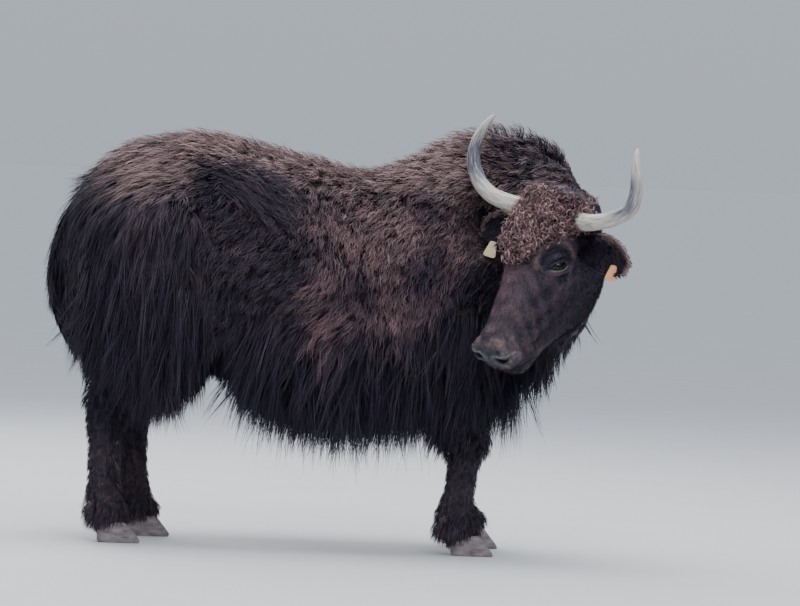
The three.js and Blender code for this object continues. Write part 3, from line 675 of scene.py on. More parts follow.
def ear(name, side):
    """A leaf rolled into a cup: its back is the loft's lower half, and its edges curl up and in"""
    loft = EAR_LOFTS[f"ear_{name}"]
    places = np.linspace(0, loft.last, EAR_STEPS)
    u, turn = np.meshgrid(places, np.linspace(-1, 1, EAR_ACROSS), indexing="ij")
    roll = EAR_ROLL - EAR_OPENING * ramp(0, loft.last, u)
    points = loft.point(u.ravel(), (-math.pi / 2 + turn * math.pi * roll).ravel())
    faces = [quad(i, j, j + 1, EAR_ACROSS) for i in range(EAR_STEPS - 1) for j in range(EAR_ACROSS - 1)]
    made = mesh_object(f"ear_{name}_fine", points, faces)
    wall = made.modifiers.new("wall", "SOLIDIFY")
    wall.thickness = EAR_THICK * MM
    wall.offset = side
    made.modifiers.new("smooth", "SUBSURF").levels = 1
    return with_modifiers_applied(made)


LIDS = {name: lids(name, side) for name, side in SIDES.items()}
EARS = {name: ear(name, side) for name, side in SIDES.items()}


# Where a point lies on the body, for skin and coat alike: the nearest part, how far along it and round it
PART_NAMES = list(BODY_PARTS)
SAMPLES = 48
PAST_END = 90


def place_on_body(points, names):
    best = np.full(len(points), 1e9)
    part = np.zeros(len(points), int)
    along = np.zeros(len(points))
    angle = np.zeros(len(points))
    for name in names:
        loft = BODY_PARTS[name]
        u = np.linspace(0, loft.last, SAMPLES)
        rows = spline(loft.rows, u)
        ahead, side, up = loft.frame(u)
        gaps = (points**2).sum(1)[:, None] - 2 * points @ rows[:, :3].T + (rows[:, :3] ** 2).sum(1)
        near = gaps.argmin(1)
        offset = points - rows[near, :3]
        across, height, past = (dot(offset, axis[near])[:, 0] for axis in (side, up, ahead))
        reach = np.where(height > 0, rows[near, 7], rows[near, 8])
        beyond = np.abs(past) / PAST_END
        measure = np.sqrt((across / rows[near, 6]) ** 2 + (height / reach) ** 2) + beyond
        closer = measure < best
        best[closer] = measure[closer]
        part[closer] = PART_NAMES.index(name)
        along[closer] = (near / (SAMPLES - 1))[closer]
        angle[closer] = np.arctan2(height / reach, across / rows[near, 6])[closer]
    return part, along, angle, best


# Each part has a box of its own on the unwrap: left, bottom, width and height
COLUMNS = (0.01, 0.26, 0.51, 0.76)
ISLANDS = {
    "trunk": (0.01, 0.51, 0.98, 0.48),
    "tail": (0.76, 0.27, 0.23, 0.10),
    "ear_left": (0.76, 0.38, 0.11, 0.11),
    "ear_right": (0.88, 0.38, 0.11, 0.11),
}
ISLANDS |= {name: (left, 0.27, 0.23, 0.22) for name, left in zip(("neck", "skull", "jaw"), COLUMNS)}
ISLANDS |= {leg: (left, 0.01, 0.23, 0.24) for leg, left in zip(LEGS, COLUMNS)}


def unwrap(part, along, angle):
    boxes = np.array([ISLANDS[name] for name in PART_NAMES])[part]
    turn = (angle + math.pi / 2) % (2 * math.pi) / (2 * math.pi)
    return boxes[:, :2] + np.stack([along, turn], 1) * boxes[:, 2:]


def in_ear(points):
    """How far points lie beside and above the middle line of the nearer ear in half widths, and along it"""
    s, l, u = in_head(points).T
    along = np.abs(l)
    route = np.array(EAR_ROUTE, float)
    middle_s, middle_u, wide = (np.interp(along, route[:, 1], route[:, i]) for i in (0, 2, 3))
    return (s - middle_s) / wide, (u - middle_u) / wide, along


def ear_edge(points):
    """1 along the upper edges of the ears and at their tips"""
    beside, _, along = in_ear(points)
    upper = ramp(0.72, 0.92, -beside) * ramp(130, 220, along)
    return np.maximum(upper, ramp(292, 312, along))


def inside_ear(points):
    _, above, _ = in_ear(points)
    return ramp(-0.25, 0.05, above)


# The right ear lies against the shoulder, which gives way round it
def from_ears(points):
    """How far points lie from the middle lines of the ears"""
    best = np.full(len(points), 1e9)
    for side in SIDES.values():
        line = np.array([on_head(s, side * l, u) for s, l, u, _, _ in EAR_ROUTE])
        best = np.minimum(best, distance_to_line(points, line))
    return best


EAR_ROOM = 88
EAR_GIVE = 1.1


def make_room_for_ear(skin):
    points = points_of(skin)
    points[:, 1] += EAR_GIVE * np.maximum(EAR_ROOM - from_ears(points), 0)
    move_points(skin, points)


make_room_for_ear(body_skin)


# Finding the skin under a point
def tree_of(*objects):
    points, faces, start = [], [], 0
    for made in objects:
        made_points = points_of(made)
        points += made_points.tolist()
        faces += [tuple(i + start for i in face.vertices) for face in made.data.polygons]
        start += len(made_points)
    return BVHTree.FromPolygons(points, faces)


SKIN_TREE = tree_of(body_skin, head_skin, *EARS.values())
EAR_TREE = tree_of(*EARS.values())


def nearest_skin(points):
    """The nearest place on the skin, the direction out of it there, and how far outside it each point lies"""
    near = np.empty_like(points)
    out = np.empty_like(points)
    for i, point in enumerate(points.tolist()):
        place, normal, _, _ = SKIN_TREE.find_nearest(point)
        near[i] = place
        out[i] = normal
    return near, out, dot(points - near, out)[:, 0]


def scatter(made, count):
    """Points spread evenly over a skin"""
    mesh = made.data
    mesh.calc_loop_triangles()
    corners = np.empty(len(mesh.loop_triangles) * 3, int)
    mesh.loop_triangles.foreach_get("vertices", corners)
    corners = points_of(made)[corners.reshape(-1, 3)]
    a, b, c = corners[:, 0], corners[:, 1], corners[:, 2]
    normal = np.cross(b - a, c - a)
    area = np.linalg.norm(normal, axis=1)
    pick = RNG.choice(len(area), count, p=area / area.sum())
    v, w = RNG.random((2, count, 1))
    over = v + w > 1
    v, w = np.where(over, 1 - v, v), np.where(over, 1 - w, w)
    return a[pick] + (b - a)[pick] * v + (c - a)[pick] * w, unit(normal[pick])


# The coat, region by region

# Heights that the tips of the long hair reach, by the place along the body
SKIRT_LINE = np.array(
    [[-860, 720], [-771, 557], [-620, 480], [-500, 340], [-440, 355], [-380, 410], [-330, 490], [-293, 548],
     [-240, 510], [-212, 405], [-130, 310], [-44, 262], [119, 232], [315, 245], [408, 262], [470, 310],
     [540, 400], [600, 405], [640, 275], [665, 258], [720, 385], [765, 450], [837, 603], [900, 760]],
    float,
)

# Where the brown wool ends towards the rump and towards the shoulder, by the height
WOOL_BACK = np.array(
    [[700, 60], [760, 30], [900, 0], [1090, -50], [1170, -130], [1235, -330], [1270, -700]], float
)
WOOL_FRONT = np.array(
    [[700, 300], [860, 370], [930, 450], [972, 540], [1040, 620], [1090, 720], [1160, 950]], float
)


def tip_height(x):
    return np.interp(x, *SKIRT_LINE.T)


def coat_at(points, normals, part):
    """The hair at each root: its length, how far it stands off the skin, its curl, its lie and its colour"""
    x, y, z = points.T
    s, l, u = in_head(points).T
    count = len(points)
    name = np.array(PART_NAMES)[part]
    head = (name == "skull") | (name == "jaw")
    fore = np.char.startswith(name, "foreleg")
    hind = np.char.startswith(name, "hindleg")
    leg = fore | hind
    neck = name == "neck"
    tail = name == "tail"
    body = (1 - head) * (1 - leg)

    # Wandering edges, and patches of lighter and darker hair
    wavy = 35 * np.sin(x / 97) + 20 * np.sin(x / 41 + 1)
    patchy = np.sin(x / 61 + 1.7 * np.sin(z / 83)) * np.sin(z / 47 + 1.3 * np.sin(x / 71 + y / 90))
    coat = {key: np.zeros(count) for key in ("length", "rise", "curl", "wave", "warm", "pale")}
    coat["lie"] = np.zeros((count, 3))

    def paint(mask, lie=None, **values):
        mask = np.broadcast_to(mask, count).astype(float)
        for key, value in values.items():
            coat[key] = coat[key] * (1 - mask) + value * mask
        if lie is not None:
            coat["lie"] = coat["lie"] * (1 - mask[:, None]) + unit(np.asarray(lie, float)) * mask[:, None]

    # Wool on the back, ribs and shoulder
    swirl = 0.3 * np.sin(x / 130 + 1.2 * np.sin(z / 150)) + 0.15 * np.sin(x / 53 + z / 77)
    lie = np.stack([swirl - 0.4, 0 * x, 0.3 * np.sin(x / 90 + z / 60) - 1], 1)
    paint(1, length=54, rise=36, curl=4.5, wave=30, warm=0.66 + 0.34 * patchy, pale=0.17 + 0.15 * patchy)
    coat["lie"] = unit(lie)
    # Painted highlight: the top line is paler tan, partly the coat's own tan and partly a highlight from the
    # light above
    paint(ramp(1100, 1230, z), rise=46, warm=0.95, pale=0.95, lie=(-1, 0, -0.2))
    behind = ramp(60, -90, x - np.interp(z, *WOOL_BACK.T) + wavy)
    paint(behind, warm=0.24 + 0.16 * patchy, pale=0.05)
    ahead = ramp(-80, 110, x - np.interp(z, *WOOL_FRONT.T) + wavy)
    paint(ahead, warm=0.2 + 0.12 * patchy, pale=0.04)

    # Long hair on the rump and the thigh, brown at the top of the rump
    crown = ramp(-330, -400, x) * ramp(1100, 1160, z)
    paint(crown, warm=0.8 + 0.2 * patchy, pale=0.75 + 0.25 * patchy, length=85, lie=(-0.8, 0, -0.6))
    rump = ramp(-300, -420, x) * ramp(1190, 1000, z)
    paint(rump, length=130, rise=36, curl=3, wave=110, lie=(-0.15, 0, -1))
    paint(rump * ramp(1170, 1000, z + wavy), warm=0.32 + 0.2 * patchy, pale=0.08)
    paint(ramp(-580, -660, x + 0.25 * (z - 1150)), warm=0.2 + 0.12 * patchy, pale=0.06, length=110)
    paint(ramp(-690, -760, x), length=110, rise=10, lie=(0.14, 0, -1))

    # The skirt under the flanks, and the chest
    reach = np.where(RNG.random(count) < 0.7, RNG.uniform(0.72, 0.97, count), RNG.uniform(0.92, 1.12, count))
    reach = np.where(RNG.random(count) < 0.05, RNG.uniform(1.08, 1.26, count), reach)
    hang = (z - tip_height(x)) * reach
    low = ramp(760, 650, z + wavy) * body
    paint(low, length=np.clip(hang, 60, 360), rise=26, curl=3, wave=130)
    paint(low, warm=0.03, pale=0.01, lie=(-0.08, 0, -1))
    chest = ramp(600, 700, x) * ramp(1000, 850, z) * body * np.where(neck, ramp(760, 690, z), 1)
    paint(chest, length=np.clip(hang, 90, 320), rise=24, curl=3, wave=120)
    paint(chest, warm=0.04, pale=0.02, lie=(-0.05, 0, -1))
    under = ramp(-0.6, -0.85, normals[:, 2]) * body
    paint(under, length=np.clip(hang * 0.9, 60, np.where(np.abs(y) > 130, 240, 150)), rise=14)

    # Short wool in the hollow round the ear
    paint(body * ramp(125, 95, from_ears(points)), length=34, rise=10, warm=0.55, pale=0.2)

    # Neck: a dark crest in horizontal folds, painted lighter on their ridges and darker between them as
    # painted light and shade, and hair that lies back from the head
    fold_relief_and_shade = np.sin(z / 4.4 + np.sin(y / 50) * 1.5 + x / 40)
    crest = ramp(1130, 1230, z) * np.maximum(ramp(520, 600, x), neck)
    paint(neck & (z > 850), length=58, rise=34, curl=2, wave=60, warm=0.15, pale=0.04)
    paint(crest, length=34, rise=44 + 6 * fold_relief_and_shade, curl=3, wave=28)
    # Painted light and shade: the folds' ridges lighter and their troughs darker
    paint(crest, warm=0.36 + 0.2 * fold_relief_and_shade, pale=0.2 + 0.2 * fold_relief_and_shade)
    # Painted highlight: the dark crest's top middle line is paler where the light from above catches it
    paint(crest * bump(0, 60, y) * ramp(700, 600, x), warm=0.7, pale=0.7)
    throat = neck * ramp(-130, -200, u) * ramp(640, 720, z)
    paint(throat, length=22, rise=4, warm=0.2, pale=0.04)
    back = np.stack([NECK_PIVOT[1] - y, x - NECK_PIVOT[0], 0 * z], 1)
    coat["lie"] = np.where((neck & (z > 700))[:, None], unit(unit(back) * 0.6 - UP), coat["lie"])

    # Short wool on the front of the crest, behind the poll
    paint((1 - head) * ramp(770, 850, x) * ramp(1020, 1100, z), length=26, rise=6)

    # Legs: long down to the knee or hock, then short, and longer again round the fetlock
    knee = np.where(fore, 300, 440)
    upper = ramp(0, 60, z - knee)
    tips = np.where(fore, 300 + 90 * ramp(470, 540, x), tip_height(x))
    below = leg * np.where(hind, ramp(1130, 840, z + wavy), 1)
    paint(below, warm=0.08, pale=0.02)
    paint(leg * ramp(1130, 1050, z), rise=16, curl=1.5, wave=60, lie=(-0.12, 0, -1))
    tuft = bump(105, 70, z) * ramp(0.2, -0.7, normals[:, 0])
    fetlock = 22 + 14 * bump(95, 60, z) + 24 * tuft
    paint(leg * (1 - upper), length=fetlock, rise=5 + 3 * bump(110, 60, z) + 13 * tuft)
    most = np.where(fore, 200, 270 - 140 * ramp(820, 1080, z))
    paint(leg * upper * ramp(1160, 1080, z), length=np.clip((z - tips) * reach, 50, most), rise=24)
    paint(leg * ramp(420, 260, z), warm=0.24 + 0.2 * patchy, pale=0.1)
    ahead = normals[:, 0]
    inward = np.where(name == "hindleg_right", ramp(0, 0.8, ahead), ramp(0, -0.8, ahead))
    paint(hind * (1 - upper) * ramp(130, 200, z) * inward, length=34, rise=14)

    # Tail
    paint(tail, length=np.clip((z - 700) * 0.8, 30, 160), rise=5, curl=4, wave=140, warm=0.08, pale=0.03)
    paint(tail * ramp(900, 750, z), lie=(0.45, 0, -1))

    # Head: short on the face, a little longer under the jaw and on the poll
    on_face = np.array([1, 0, -0.15]) @ HEAD_AXES + np.sign(l)[:, None] * HEAD_AXES[1] * 0.25
    fine = np.sin(s / 13 + 1.5 * np.sin(l / 17)) * np.sin(u / 15 + s / 31)
    socket = socket_measure(points)
    paint(head, length=13, rise=2, curl=0.5, wave=16, warm=0.30 + 0.2 * fine, pale=0.09 + 0.09 * fine)
    cheek = ramp(40, -30, l) * ramp(-110, -40, u) * ramp(450, 330, s)
    paint(head * cheek, warm=0.66 + 0.25 * fine, pale=0.16)
    paint(head * bump(25, 60, l) * ramp(-60, -30, u) * bump(330, 140, s), warm=0.46 + 0.12 * fine, pale=0.24)
    # Darker towards the underside of the jaw: its darker hair, and painted shade beneath the head
    paint(head * ramp(-110, -170, u), warm=0.18 + 0.08 * fine, pale=0.05)
    paint(head * ramp(-200, -290, u), warm=0.08 + 0.06 * fine, pale=0.02)
    # Painted shade: dark in the hollow round the eye, inside the socket's fold
    paint(head * ramp(1.05, 0.55, socket), warm=0.08, pale=0.02)
    # A pale arc of brow hair along the socket's fold over the eye, painted paler still as a highlight on the
    # fold's ridge
    over = ramp(-2, 18, in_eye(points)[:, 1])
    paint(head * over * bell((socket - 1.06) / 0.13), warm=0.6, pale=0.42)
    paint(head * bump(120, 70, s) * ramp(80, 110, np.abs(l)) * ramp(-60, -110, u), warm=0.04, pale=0.0)
    coat["lie"] = np.where(head[:, None], unit(on_face), coat["lie"])
    paint(head * ramp(-230, -300, u) * ramp(440, 300, s), length=22, rise=6, curl=1.5, wave=40)
    paint(head * ramp(400, 480, s), length=8, rise=2, warm=0.2, pale=0.28 + 0.14 * fine)
    # The muzzle's top is paler: its pale short hair, and a painted highlight from the light above
    paint(head * bump(478, 62, s) * ramp(-62, -30, u), warm=0.28, pale=0.42 + 0.34 * fine)
    # Painted shade: the lower front of the muzzle, above the mouth, is darker
    paint(head * ramp(440, 480, s) * ramp(-96, -130, u), warm=0.12, pale=0.06)
    paint(head * ramp(60, 0, s) * (u < -120), length=26, rise=6, warm=0.15)

    # Ears: short outside, with a paler fringe along the edges that is partly pale tan hair and partly a
    # painted backlit highlight, and black hair inside the cup that is partly dark hair and partly painted
    # shade
    ear = np.char.startswith(name, "ear")
    edge = ear_edge(points)
    paint(ear, length=20, rise=6, curl=1, wave=40, warm=0.2, pale=0.05)
    paint(ear * edge, length=13, rise=4, warm=0.75, pale=0.85)
    # Partly painted shade: the hair inside each ear's cup is black
    paint(ear * (1 - edge) * inside_ear(points), length=22, rise=10, warm=0.0, pale=0.0)
    on_ear = unit(np.sign(l)[:, None] * HEAD_AXES[1] + 0.3 * HEAD_AXES[0] - 0.2 * UP)
    coat["lie"] = np.where(ear[:, None], on_ear, coat["lie"])

    # No two tufts quite alike
    coat["lie"] = unit(coat["lie"] + RNG.normal(0, np.where(head, 0.1, 0.17)[:, None], (count, 3)))
    even = np.maximum(low, np.maximum(chest, leg))
    coat["length"] = np.clip(coat["length"] * (1 + RNG.uniform(-0.25, 0.25, count) * (1 - even)), 5, 400)
    coat["rise"] = coat["rise"] * RNG.uniform(0.7, 1.12, count)
    coat["warm"] = np.clip(coat["warm"] + RNG.normal(0, 1, count) * (0.03 + 0.12 * coat["warm"]), 0, 1)
    coat["pale"] = np.clip(coat["pale"] + RNG.normal(0, 1, count) * (0.01 + 0.35 * coat["pale"]), 0, 1)
    return coat


def hip_crest(coat, count):
    """Long dark hair that falls forward and down from the point of the hip"""
    coat["length"] = RNG.uniform(120, 230, count)
    coat["rise"] = RNG.uniform(38, 50, count)
    coat["curl"] = np.full(count, 9.0)
    coat["wave"] = np.full(count, 120.0)
    coat["warm"] = np.clip(RNG.normal(0.2, 0.1, count), 0, 1)
    coat["pale"] = np.clip(RNG.normal(0.04, 0.08, count), 0, 1)
    coat["lie"] = unit(np.array([0.7, 0.0, -0.8]) + RNG.normal(0, 0.15, (count, 3)))


CURL_EDGE = np.array(
    [[-122, 160], [-104, 190], [-47, 228], [18, 216], [54, 172], [78, 136], [109, 88], [124, 40]], float
)


CROWN = -28
CURL_RIGHT_EDGE = -108


def forehead(points, normals):
    """Where the forehead's curls grow: from the crown down to a line that rises towards the left eye"""
    s, l, u = in_head(points).T
    round_horns = (np.abs(l) > 90) & (u > -75) & (s < 85)
    facing = (normals @ HEAD_AXES[2] > 0.1) | round_horns
    return facing & (s > CROWN) & (l > CURL_RIGHT_EDGE) & (s < np.interp(l, *CURL_EDGE.T))


def nose_pad(points):
    """1 on the bare skin between and round the nostrils"""
    s, l, u = in_head(points).T
    return ramp(508, 522, s) * ramp(-98, -88, u) * ramp(66, 50, np.abs(l) - 0.6 * np.maximum(s - 530, 0))


def along_mouth(points, outer, inner):
    """1 near the line between the lips, by the distances where it starts and where it is full"""
    return ramp(outer, inner, from_mouth(points)) * ramp(435, 455, in_head(points)[:, 0])


def bare_skin(points):
    """1 where no hair grows: the nose, the lips and the edges of the lids"""
    rims = ramp(1.42, 1.18, lid_measure(points))
    return np.maximum.reduce([nose_pad(points), along_mouth(points, 9, 4), rims])


def painted_shade_in_hollows(points):
    """Painted shade: 1 inside the nostrils, along the mouth and within the lids, where the skin is painted
    near black
    """
    nostrils = ramp(1.15, 0.7, nostril_measure(points))
    openings = ramp(1.02, 0.93, lid_measure(points))
    return np.maximum.reduce([nostrils, along_mouth(points, 4.5, 2), openings])


def painted_highlights(points):
    """Painted highlight: 1 on the rims of the nostrils, the nose pad and the lower lids, and on the dome over
    the eye, where a paler grey stands in for the light they catch
    """
    s, l, u = in_head(points).T
    ahead, up, out = in_eye(points).T
    wing = bell((nostril_measure(points) - 1.75) / 0.4)
    lower_edge = bell((s - 548) / 7) * ramp(-95, -70, u)
    side_edge = bell((np.abs(l) - 60) / 8) * ramp(505, 520, s) * ramp(-80, -55, u)
    lower_lid = bell((lid_measure(points) - 1.2) / 0.14) * ramp(-3, -9, up)
    dome = bell((ahead + 4) / 24, (up - 32) / 12) * ramp(-20, 5, out)
    return np.maximum.reduce([0.5 * wing, 0.3 * lower_edge, 0.35 * side_edge, 0.7 * lower_lid, 0.28 * dome])


def comb(roots, normals, coat, steps):
    """The middle line of each tuft: it rises from the skin, follows the lie of the hair and falls free"""
    lie, length, rise = coat["lie"], coat["length"], coat["rise"]
    path = np.empty((len(roots), steps + 1, 3))
    path[:, 0] = roots - normals * np.minimum(4, length * 0.2)[:, None]
    step = (length / steps)[:, None]
    start = np.clip(2.2 * rise / length, 0.1, 1.2)[:, None]
    heading = unit(lie - normals * np.minimum(dot(lie, normals), 0) + normals * start)
    for k in range(steps):
        ahead = path[:, k] + heading * step
        _, out, gap = nearest_skin(ahead)
        share = (k + 1) / steps
        want = rise * (1 - (1 - share) ** 3)
        ahead += out * np.maximum(want - gap, 0)[:, None]
        path[:, k + 1] = ahead
        slide = lie - out * np.minimum(dot(lie, out), 0)
        heading = unit(unit(ahead - path[:, k]) * 0.5 + unit(slide))
    return path


def strands(path, normals, tuft):
    """The hairs of each tuft: their middle lines and the direction across each"""
    count, levels, _ = path.shape
    many = tuft["hairs"]
    ahead = unit(path[:, 1] - path[:, 0])
    side = unit(np.cross(normals, ahead))
    front = np.cross(side, normals)
    t = np.linspace(0, 1, levels)
    length = tuft["length"][:, None, None]
    radius = tuft["radius"] * np.sqrt(RNG.random((count, many)))
    turn = RNG.random((count, many)) * 2 * math.pi
    offset = side[:, None] * (radius * np.cos(turn))[..., None]
    offset = offset + front[:, None] * (radius * np.sin(turn))[..., None]
    gather = 1 - tuft["clump"] * t**1.3
    reach = RNG.uniform(0.7, 1.06, (count, many, 1, 1))
    lines = path[:, None, :1] + (path[:, None] - path[:, None, :1]) * reach
    lines = lines + offset[:, :, None] * gather[:, None]
    stray = RNG.normal(0, tuft["stray"], (count, many, 1, 3)) * (t**1.5)[:, None] * length[..., None]
    phase = (RNG.random((count, 1)) * 2 * math.pi + RNG.normal(0, 0.5, (count, many)))[..., None]
    turns = length / tuft["wave"][:, None, None] * RNG.uniform(0.85, 1.15, (count, many, 1))
    waves = 2 * math.pi * t * turns
    swing = (tuft["curl"][:, None, None] * t**0.7)[..., None]
    across = side[:, None, None]
    out = np.cross(ahead, side)[:, None, None] * -1
    curls = swing * (across * np.cos(waves + phase)[..., None] + out * np.sin(waves + phase)[..., None])
    curls -= curls[:, :, :1]
    lines = lines + stray + curls
    roll = RNG.normal(0, 0.6, (count, many, 1))
    wide = side[:, None] * np.cos(roll) + normals[:, None] * np.sin(roll)
    return lines.reshape(-1, levels, 3), wide.reshape(-1, 3)


COAT_LIMIT = 190000
PATCH = 0.003


def coat_mesh(name, lines, wide, half, shares, place, taper=0.7):
    """Flat, tapered hairs as one mesh, with their colour shares and a small patch each on the unwrap"""
    count, levels, _ = lines.shape
    t = np.linspace(0, 1, levels)[:-1]
    width = half[:, None] * (1 - t) ** taper
    edge = wide[:, None] * width[..., None]
    pairs = np.stack([lines[:, :-1] - edge, lines[:, :-1] + edge], 2).reshape(count, -1, 3)
    points = np.concatenate([pairs, lines[:, -1:]], 1)
    each = points.shape[1]
    start = (np.arange(count) * each)[:, None, None]
    quads = np.array([[2 * k, 2 * k + 1, 2 * k + 3, 2 * k + 2] for k in range(levels - 2)])
    tip = np.array([[each - 3, each - 2, each - 1]])
    corner_rows = np.concatenate([(start + quads).reshape(count, -1), (start + tip).reshape(count, -1)], 1)
    loops = corner_rows.ravel()
    sizes = np.tile([4] * len(quads) + [3], count)
    mesh = bpy.data.meshes.new(name)
    mesh.vertices.add(count * each)
    mesh.vertices.foreach_set("co", to_row(points).ravel())
    mesh.loops.add(len(loops))
    mesh.loops.foreach_set("vertex_index", loops)
    mesh.polygons.add(len(sizes))
    mesh.polygons.foreach_set("loop_start", np.concatenate([[0], np.cumsum(sizes)[:-1]]))
    mesh.polygons.foreach_set("use_smooth", np.ones(len(sizes), bool))
    mesh.update(calc_edges=True)

    height = np.append(np.repeat(t, 2), 1.0)
    colours = np.empty((count, each, 4))
    colours[..., 0] = shares["warm"][:, None]
    colours[..., 1] = np.clip(shares["pale"][:, None] * height**1.5, 0, 1)
    colours[..., 2] = shares["shade"][:, None]
    # The height up each hair, by which the material darkens its root: the wool's darker base and painted
    # shade between the hairs
    colours[..., 3] = height
    add_colours(mesh, "coat", colours)

    sideways = np.append(np.tile([-0.5, 0.5], levels - 1), 0.0)
    corner = np.stack([np.broadcast_to(v, (count, each)) for v in (sideways, height - 0.5)], -1)
    patch = (place[:, None] + corner * PATCH).reshape(-1, 2)
    mesh.uv_layers.new(name="OFBake").data.foreach_set("uv", patch[loops].ravel())
    mesh.materials.append(COAT)
    return shown(name, mesh)


# Materials
class Shading:
    """The nodes of a material or a world, which end in its main one"""

    def __init__(self, owner, main):
        owner.use_nodes = True
        self.owner = owner
        self.tree = owner.node_tree
        self.main = self.tree.nodes[main]

    def feed(self, node, inputs):
        """Each input is joined to another node's output, or set to a number or a colour"""
        for key, value in inputs.items():
            socket = node.inputs[key]
            if isinstance(value, bpy.types.NodeSocket):
                self.tree.links.new(value, socket)
            elif socket.type == "RGBA":
                socket.default_value = (*value, 1)
            else:
                socket.default_value = value
        return node

    def add(self, kind, **inputs):
        return self.feed(self.tree.nodes.new(f"ShaderNode{kind}"), inputs)

    def attribute(self, name):
        made = self.add("Attribute")
        made.attribute_name = name
        return made.outputs

    def shares(self, name):
        """The red, green and blue of a colour that the mesh carries"""
        split = self.add("SeparateColor", Color=self.attribute(name)["Color"])
        return [split.outputs[key] for key in ("Red", "Green", "Blue")]

    def colours(self, factor, *stops):
        """A colour that follows the factor from stop to stop, where a single number is a grey"""
        made = self.add("ValToRGB", Fac=factor)
        elements = made.color_ramp.elements
        while len(elements) < len(stops):
            elements.new(0.5)
        for element, (place, colour) in zip(elements, stops):
            element.position = place
            element.color = (*colour, 1) if isinstance(colour, tuple) else (colour, colour, colour, 1)
        return made.outputs["Color"]

    def noise(self, scale, detail=4, stretch=(1, 1, 1)):
        where = self.add("TexCoord").outputs["Object"]
        mapping = self.add("Mapping", Scale=stretch, Vector=where)
        made = self.add("TexNoise", Scale=scale, Detail=detail, Vector=mapping.outputs["Vector"])
        return made.outputs["Fac"]

    def mix(self, factor, a, b, how="MIX", kind="RGBA"):
        made = self.add("Mix")
        made.data_type = kind
        made.blend_type = how
        return self.feed(made, {"Factor": factor, "A": a, "B": b}).outputs["Result"]

    def relief(self, height, distance, strength=1):
        made = self.add("Bump", Distance=distance, Strength=strength, Height=height)
        self.feed(self.main, {"Normal": made.outputs["Normal"]})


def surface(name, roughness, specular=0.5):
    shading = Shading(bpy.data.materials.new(name), "Principled BSDF")
    shading.feed(shading.main, {"Roughness": roughness, "Specular IOR Level": specular})
    return shading


FUR_ROUGHNESS = 0.55
FUR_SPECULAR = 0.22


def fur_colour(shading):
    """Black to brown by the hair's own share, paler at some tips, and darker at the root: partly the wool's
    own darker base and partly painted shade in the gaps between the hairs
    """
    warm, pale, shade = shading.shares("coat")
    base = shading.colours(
        warm, (0, (0.0055, 0.0050, 0.0170)), (0.35, (0.028, 0.018, 0.034)), (1, (0.128, 0.068, 0.080))
    )
    lit = shading.mix(pale, base, (0.44, 0.31, 0.29))
    shaded = shading.mix(1.0, lit, shading.colours(shade, (0, 0.2), (1, 1.8)), "MULTIPLY")
    root = shading.colours(shading.attribute("coat")["Alpha"], (0, 0.3), (0.45, 1.0))
    return shading.mix(1.0, shaded, root, "MULTIPLY")


def coat_material(name):
    shading = surface(name, FUR_ROUGHNESS, FUR_SPECULAR)
    shading.feed(shading.main, {"Base Color": fur_colour(shading)})
    return shading.owner


def skin_material(name):
    """The coat's own colours with a fine nap, dark pebbled skin where it is bare, a pale grey painted on the
    rims and the dome over the eye as highlights, and near black painted shade in the hollows
    """
    shading = surface(name, FUR_ROUGHNESS, FUR_SPECULAR)
    bare, painted_hollow_shade, highlight_share = shading.shares("bare")
    grey = shading.colours(shading.noise(60), (0.3, (0.016, 0.015, 0.021)), (0.7, (0.056, 0.052, 0.064)))
    # Painted highlight: a pale grey on the rims of the nostrils, the nose pad and the lower lids, and on the
    # dome over the eye
    lit = shading.mix(highlight_share, shading.mix(bare, fur_colour(shading), grey), (0.17, 0.165, 0.19))
    # Painted shade: near black in the nostrils, along the mouth, within the lids and inside the ears
    colour = shading.mix(painted_hollow_shade, lit, (0.0015, 0.0012, 0.002))
    wet = shading.colours(bare, (0, 0.6), (1, 0.34))
    shading.feed(shading.main, {"Base Color": colour, "Roughness": wet})
    where = shading.add("TexCoord").outputs["Object"]
    pebbles = shading.add("TexVoronoi", Scale=260, Vector=where).outputs["Distance"]
    nap = shading.noise(240, 3, (1, 1, 0.35))
    shading.relief(shading.mix(bare, nap, pebbles, kind="FLOAT"), 0.0015, 0.7)
    return shading.owner


COAT = coat_material("coat hair")
SKIN = skin_material("skin")


def mark_skin(made, names):
    """The skin carries the same colour shares as the hair that grows from it, but darker under long hair and
    curls as painted shade between the hairs
    """
    points, normals = points_of(made), normals_of(made)
    part = place_on_body(points, names)[0]
    coat = coat_at(points, normals, part)
    curls = forehead(points, normals)
    warm = np.where(curls, 0.7, coat["warm"])
    # Painted shade: under long hair and under the curls the skin gets low shade and root shares, so it reads
    # as the shade between the hairs; under short hair it stays lighter
    short = ramp(40, 18, coat["length"]) * ~curls
    shares = [warm, coat["pale"] * 0.5, 0.2 + 0.25 * short, 0.12 + 0.3 * short]
    add_colours(made.data, "coat", np.stack(shares, 1))
    painted_hollow_shade = painted_shade_in_hollows(points)
    # Painted shade: the skin inside each ear's cup, below its edge, is painted near black
    if names is EAR_NAMES:
        painted_hollow_shade = np.maximum(painted_hollow_shade, 0.8 * inside_ear(points) * (1 - ear_edge(points)))
    # The bare attribute holds the bare skin, the painted shade of the hollows and the painted highlights of
    # the rims
    marks = [bare_skin(points), painted_hollow_shade, painted_highlights(points), np.ones(len(points))]
    add_colours(made.data, "bare", np.stack(marks, 1))
    made.data.materials.append(SKIN)


HEAD_NAMES = ["skull", "jaw"]
EAR_NAMES = list(EAR_LOFTS)
BODY_NAMES = [name for name in PART_NAMES if name not in HEAD_NAMES + EAR_NAMES]
mark_skin(body_skin, BODY_NAMES)
mark_skin(head_skin, HEAD_NAMES)
for made in LIDS.values():
    mark_skin(made, HEAD_NAMES)
for made in EARS.values():
    mark_skin(made, EAR_NAMES)


EAR_CLEARANCE = 14
EAR_REACH = 480


